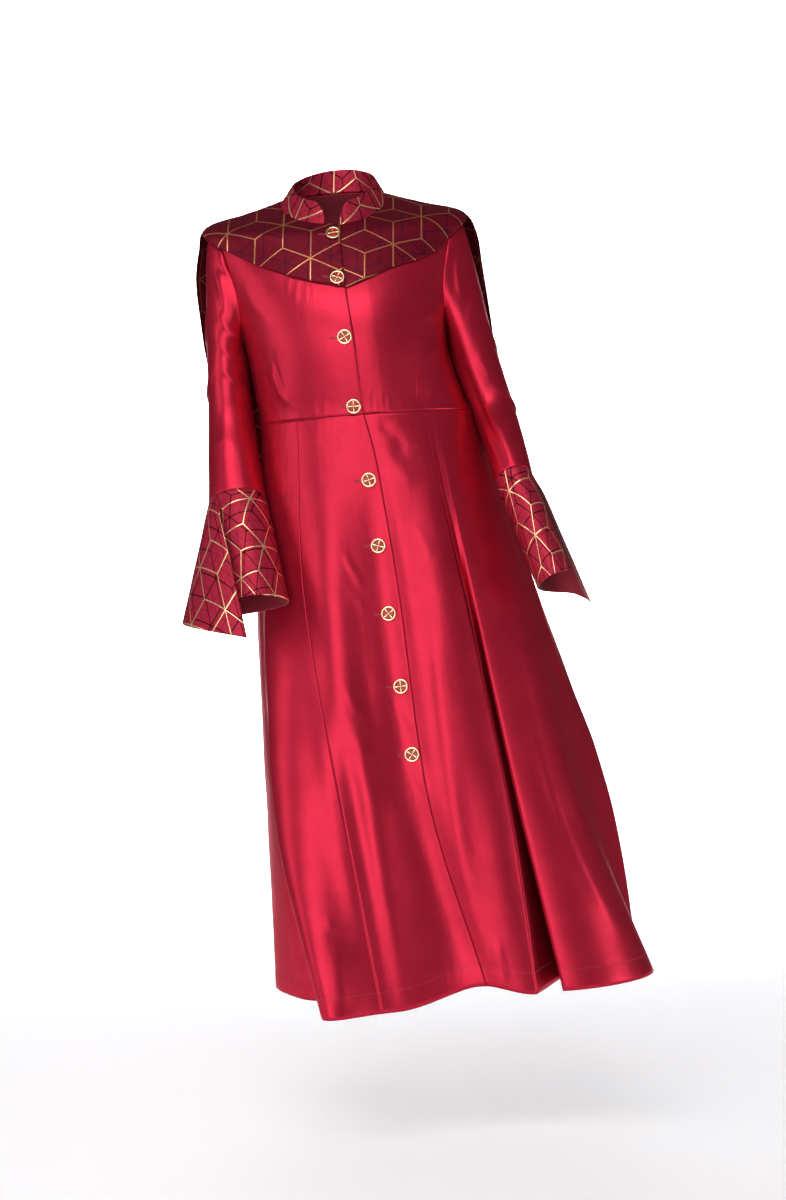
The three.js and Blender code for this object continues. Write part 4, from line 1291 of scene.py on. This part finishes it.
points = base + normals * (collar["wall"] / 2 + side * rounding * collar["thick"] / 2)[..., None]
run = (turn - collar["from"]) * collar["perDegree"]
patterns = {"cloth": np.stack([run, rise * collar["height"]], axis=-1)}
patterns["pattern"] = turned(patterns["cloth"], yoke["turn"])
points = np.concatenate([points, points[:, :1]], axis=1)
patterns = {name: np.concatenate([spots, spots[:, :1]], axis=1) for name, spots in patterns.items()}
obj = meshPiece("collar_band", points, patterns, [brocade])
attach(obj, "root")
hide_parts("collar")
report("collar", points)
print("collar made")

# The buttons: a gold rim, sunk red enamel and a plain four-armed cross.
buttons = [
    # height of the front edge beside the centre, distance in from it, how far it is let in to its solid
    (-47, 12, 0.2),
    (-127, 13, 0.4),
    (-222, 15.5, 1),
    (-333, 15.5, 0.3),
    (-454, 19, 0),
    (-561, 22, 0),
    (-671, 22, 0),
    (-789, 17, 0),
    (-899, 14, -0.2),
]
button = {
    "gap": 0.3,
    "seatReach": 7,  # how far round its centre the cloth sets a button's tilt
    "pieces": [
        # the piece that each button lies on, and how low down the front it goes
        ("cape_front_right", -140), ("bodice_front_right", -348), ("skirt_front_right", -1400),
    ],
    "rimProfile": [
        (0, 0), (2.6, 0), (3, 0.4), (3, 1.5), (3.4, 1.7), (8, 1.7), (10.8, 1.9), (11.9, 2.5), (12.45, 3.4),
        (12.2, 4.4), (11.5, 5.05), (10.7, 5.2), (9.9, 5.05), (9.3, 4.6), (9.0, 3.9), (8.95, 3.2),
    ],
    "enamelProfile": [(9.1, 3.5), (8.6, 3.75), (6, 3.95), (3, 4.05), (0, 4.1)],
    "bossProfile": [(1.3, 3.9), (1.2, 4.7), (0.8, 5.0), (0.4, 5.1), (0, 5.15)],
    "armStart": 0.2,
    "armLength": 8.6,
    "armTip": 1.6,  # half width at the tip
    "armRoot": 0.45,
    "crossLow": 3.7,
    "crossHigh": 4.7,
    "turns": [12, -20, 33, 4, 20, -14, 41, 8, -30],  # each is sewn on at its own turn, degrees
}


# A spot on the finished cloth, inset from the front edge: its place, outward direction and the
# direction to the edge.
def frontSurface(height, inset):
    name = next(piece for piece, bottom in button["pieces"] if height > bottom)
    reach = button["seatReach"]
    grid = robeSurfaces[name][0][::-1]
    if grid[0, 0, 2] > grid[0, -1, 2]:
        grid = grid[:, ::-1]

    def spot(upBy, inBy):
        row = np.interp(height + upBy, grid[0, :, 2], np.arange(grid.shape[1]))
        k = min(int(row), grid.shape[1] - 2)
        across = mix(grid[:, k], grid[:, k + 1], row - k)
        run = np.concatenate([[0], np.cumsum(np.linalg.norm(np.diff(across, axis=0), axis=1))])
        return np.array([np.interp(inset + inBy, run, across[:, axis]) for axis in range(3)])

    sideways, upward = spot(0, -reach) - spot(0, reach), spot(reach, 0) - spot(-reach, 0)
    return spot(0, 0), unit(np.cross(sideways, upward)), unit(sideways)


def lathe(profile, count):
    profile = np.array(profile, float)
    turn = np.linspace(0, 2 * np.pi, count, endpoint=False)
    radius, height = profile[:, 0][None], profile[:, 1][None]
    return np.stack(np.broadcast_arrays(
        radius * np.cos(turn)[:, None], radius * np.sin(turn)[:, None], height + 0 * turn[:, None],
    ), axis=-1)


# A flared arm of the cross with a rounded top, as a closed loft along its length.
def crossArm(turn):
    along = np.linspace(0, 1, 9)
    half = mix(button["armRoot"], button["armTip"], along**1.3)
    around = np.linspace(0, np.pi, 7)
    rows = []
    for a, w in zip(along, half):
        x = button["armStart"] + a * (button["armLength"] - button["armStart"])
        y = w * np.cos(around)
        z = button["crossLow"] + (button["crossHigh"] - button["crossLow"]) * np.sin(around) ** 0.6
        rows.append(np.stack([x + 0 * y, y, z], axis=-1))
    rows = np.stack(rows)
    return np.concatenate([turned(rows, turn), rows[..., 2:]], axis=-1)


# Buttonholes, worked in close stitches: each runs in from under its button, away from the edge.
buttonhole = {
    "start": 0,  # millimetres from the button's centre
    "end": 23,
    "halfWide": 1.1,
    "threadThick": 0.75,
    "threadHigh": 0.5,
    "raise": 0.35,
}
paths, lays = [], []
for height, inset, seat in buttons:
    spots = np.linspace(buttonhole["start"], buttonhole["end"], 12)
    spotsAt = [frontSurface(height, inset + d) for d in spots]
    middle = np.array([place for place, _, _ in spotsAt])
    normal = np.array([up for _, up, _ in spotsAt])
    aside = np.cross(normal, unit(np.gradient(middle, axis=0))) * buttonhole["halfWide"]
    middle = middle + normal * buttonhole["raise"]
    bend = middle[-1] + unit(middle[-1] - middle[-2]) * buttonhole["halfWide"]
    paths.append(np.concatenate([middle + aside, [bend], (middle - aside)[::-1]]))
    lays.append(np.concatenate([normal, normal[-1:], normal[::-1]]))
threads = tubes(paths, lays, buttonhole["threadThick"], buttonhole["threadHigh"])
obj = joined("buttonholes", threads, [thread])
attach(obj, "root")
print("buttonholes made")

for k, (height, inset, seat) in enumerate(buttons):
    place, normal, sideways = frontSurface(height, inset)
    base = place + normal * (button["gap"] - seat)
    parts = [
        (lathe(button["rimProfile"], 48) * mm, True, 0),
        (lathe(button["enamelProfile"], 48) * mm, True, 1),
    ]
    parts += [(crossArm(arm) * mm, False, 0) for arm in (0, 90, 180, 270)]
    parts.append((lathe(button["bossProfile"], 16) * mm, True, 0))
    obj = joined(f"button_{k + 1}_cast", parts, [castGold, enamel])
    aim = Vector(normal).to_track_quat("Z", "Y")
    obj.matrix_world = (aim @ Quaternion((0, 0, 1), math.radians(button["turns"][k]))).to_matrix().to_4x4()
    obj.location = Vector(base * mm)
    bpy.context.view_layer.update()
    obj.data.transform(obj.matrix_world)
    obj.matrix_world.identity()
    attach(obj, "root")
    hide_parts(f"button_{k + 1}")
print("buttons made")

# Floor, light and camera.
studio = {
    "backdrop": "#F6F6F8",
    "floor": -1.53,  # metres, as for the next five
    "front": -4.6,
    "back": 3.4,
    "bend": 1.2,  # radius of the paper's curve from floor to wall
    "top": 1.5,
    "halfWide": 1.42,
    "glow": 0.35,
    "sky": 0.14,
}
bendStart, bend = studio["back"] - studio["bend"], studio["bend"]
profile = [(y, studio["floor"]) for y in np.linspace(studio["front"], bendStart, 8)]
for a in np.linspace(0, np.pi / 2, 12)[1:]:
    profile.append((bendStart + bend * math.sin(a), studio["floor"] + bend * (1 - math.cos(a))))
profile.append((studio["back"], studio["top"]))
sides = (-studio["halfWide"], studio["halfWide"])
sweep = np.stack([np.array([[x, y, z] for y, z in profile]) for x in sides]) / mm
paper, tree, shader = newMaterial("white studio paper", {
    "Base Color": linear(studio["backdrop"]), "Roughness": 0.9,
    "Emission Color": linear(studio["backdrop"]), "Emission Strength": studio["glow"],
})
floor = meshPiece("studio_floor", sweep, {}, [paper])

lights = [
    # name, place, aimed at, width, height, watts, spread in degrees, colour
    ("key", (-1.0, -4.4, -0.1), (0.0, 0.0, -0.6), 3.6, 3.0, 82, 180, "#FFFFFF"),
    ("top front", (-0.5, -3.1, 2.3), (0.0, 0.0, -0.6), 3.2, 1.6, 66, 180, "#FFFFFF"),
    ("side left", (-3.6, -1.2, -0.2), (0.0, 0.0, -0.6), 1.0, 2.8, 26, 180, "#FFFFFF"),
    ("side right", (3.6, -0.6, -1.1), (0.1, 0.0, -1.0), 1.2, 1.3, 26, 180, "#FFFFFF"),
    ("paper", (0.0, 2.0, 1.6), (0.0, 3.4, -0.2), 2.4, 0.6, 100, 90, "#FFFFFF"),
]
for name, spot, aimed, width, height, watts, cone, colour in lights:
    lamp = bpy.data.lights.new(name, "AREA")
    lamp.shape = "RECTANGLE"
    lamp.size, lamp.size_y, lamp.energy = width, height, watts
    lamp.spread = math.radians(cone)
    lamp.color = linear(colour)[:3]
    obj = bpy.data.objects.new(name, lamp)
    obj.location = spot
    obj.rotation_euler = (Vector(aimed) - Vector(spot)).to_track_quat("-Z", "Y").to_euler()
    bpy.context.scene.collection.objects.link(obj)

world = bpy.data.worlds.new("studio")
world.use_nodes = True
world.node_tree.nodes["Background"].inputs["Color"].default_value = linear("#FFFFFF")
world.node_tree.nodes["Background"].inputs["Strength"].default_value = studio["sky"]
bpy.context.scene.world = world
bpy.context.scene.view_settings.view_transform = "Standard"

view = {
    "place": (0.098, -4.0, -0.6507),  # level with the robe's middle and straight in front of it
    "lens": 71.007,  # millimetres, so that a pixel is 1.69 mm at the robe
    "sensor": 36,
}
lens = bpy.data.cameras.new("camera")
lens.lens = view["lens"]
lens.sensor_width = view["sensor"]
camera = bpy.data.objects.new("camera", lens)
camera.location = view["place"]
camera.rotation_euler = (math.radians(90), 0, 0)
bpy.context.scene.collection.objects.link(camera)
bpy.context.scene.camera = camera
print("studio made")
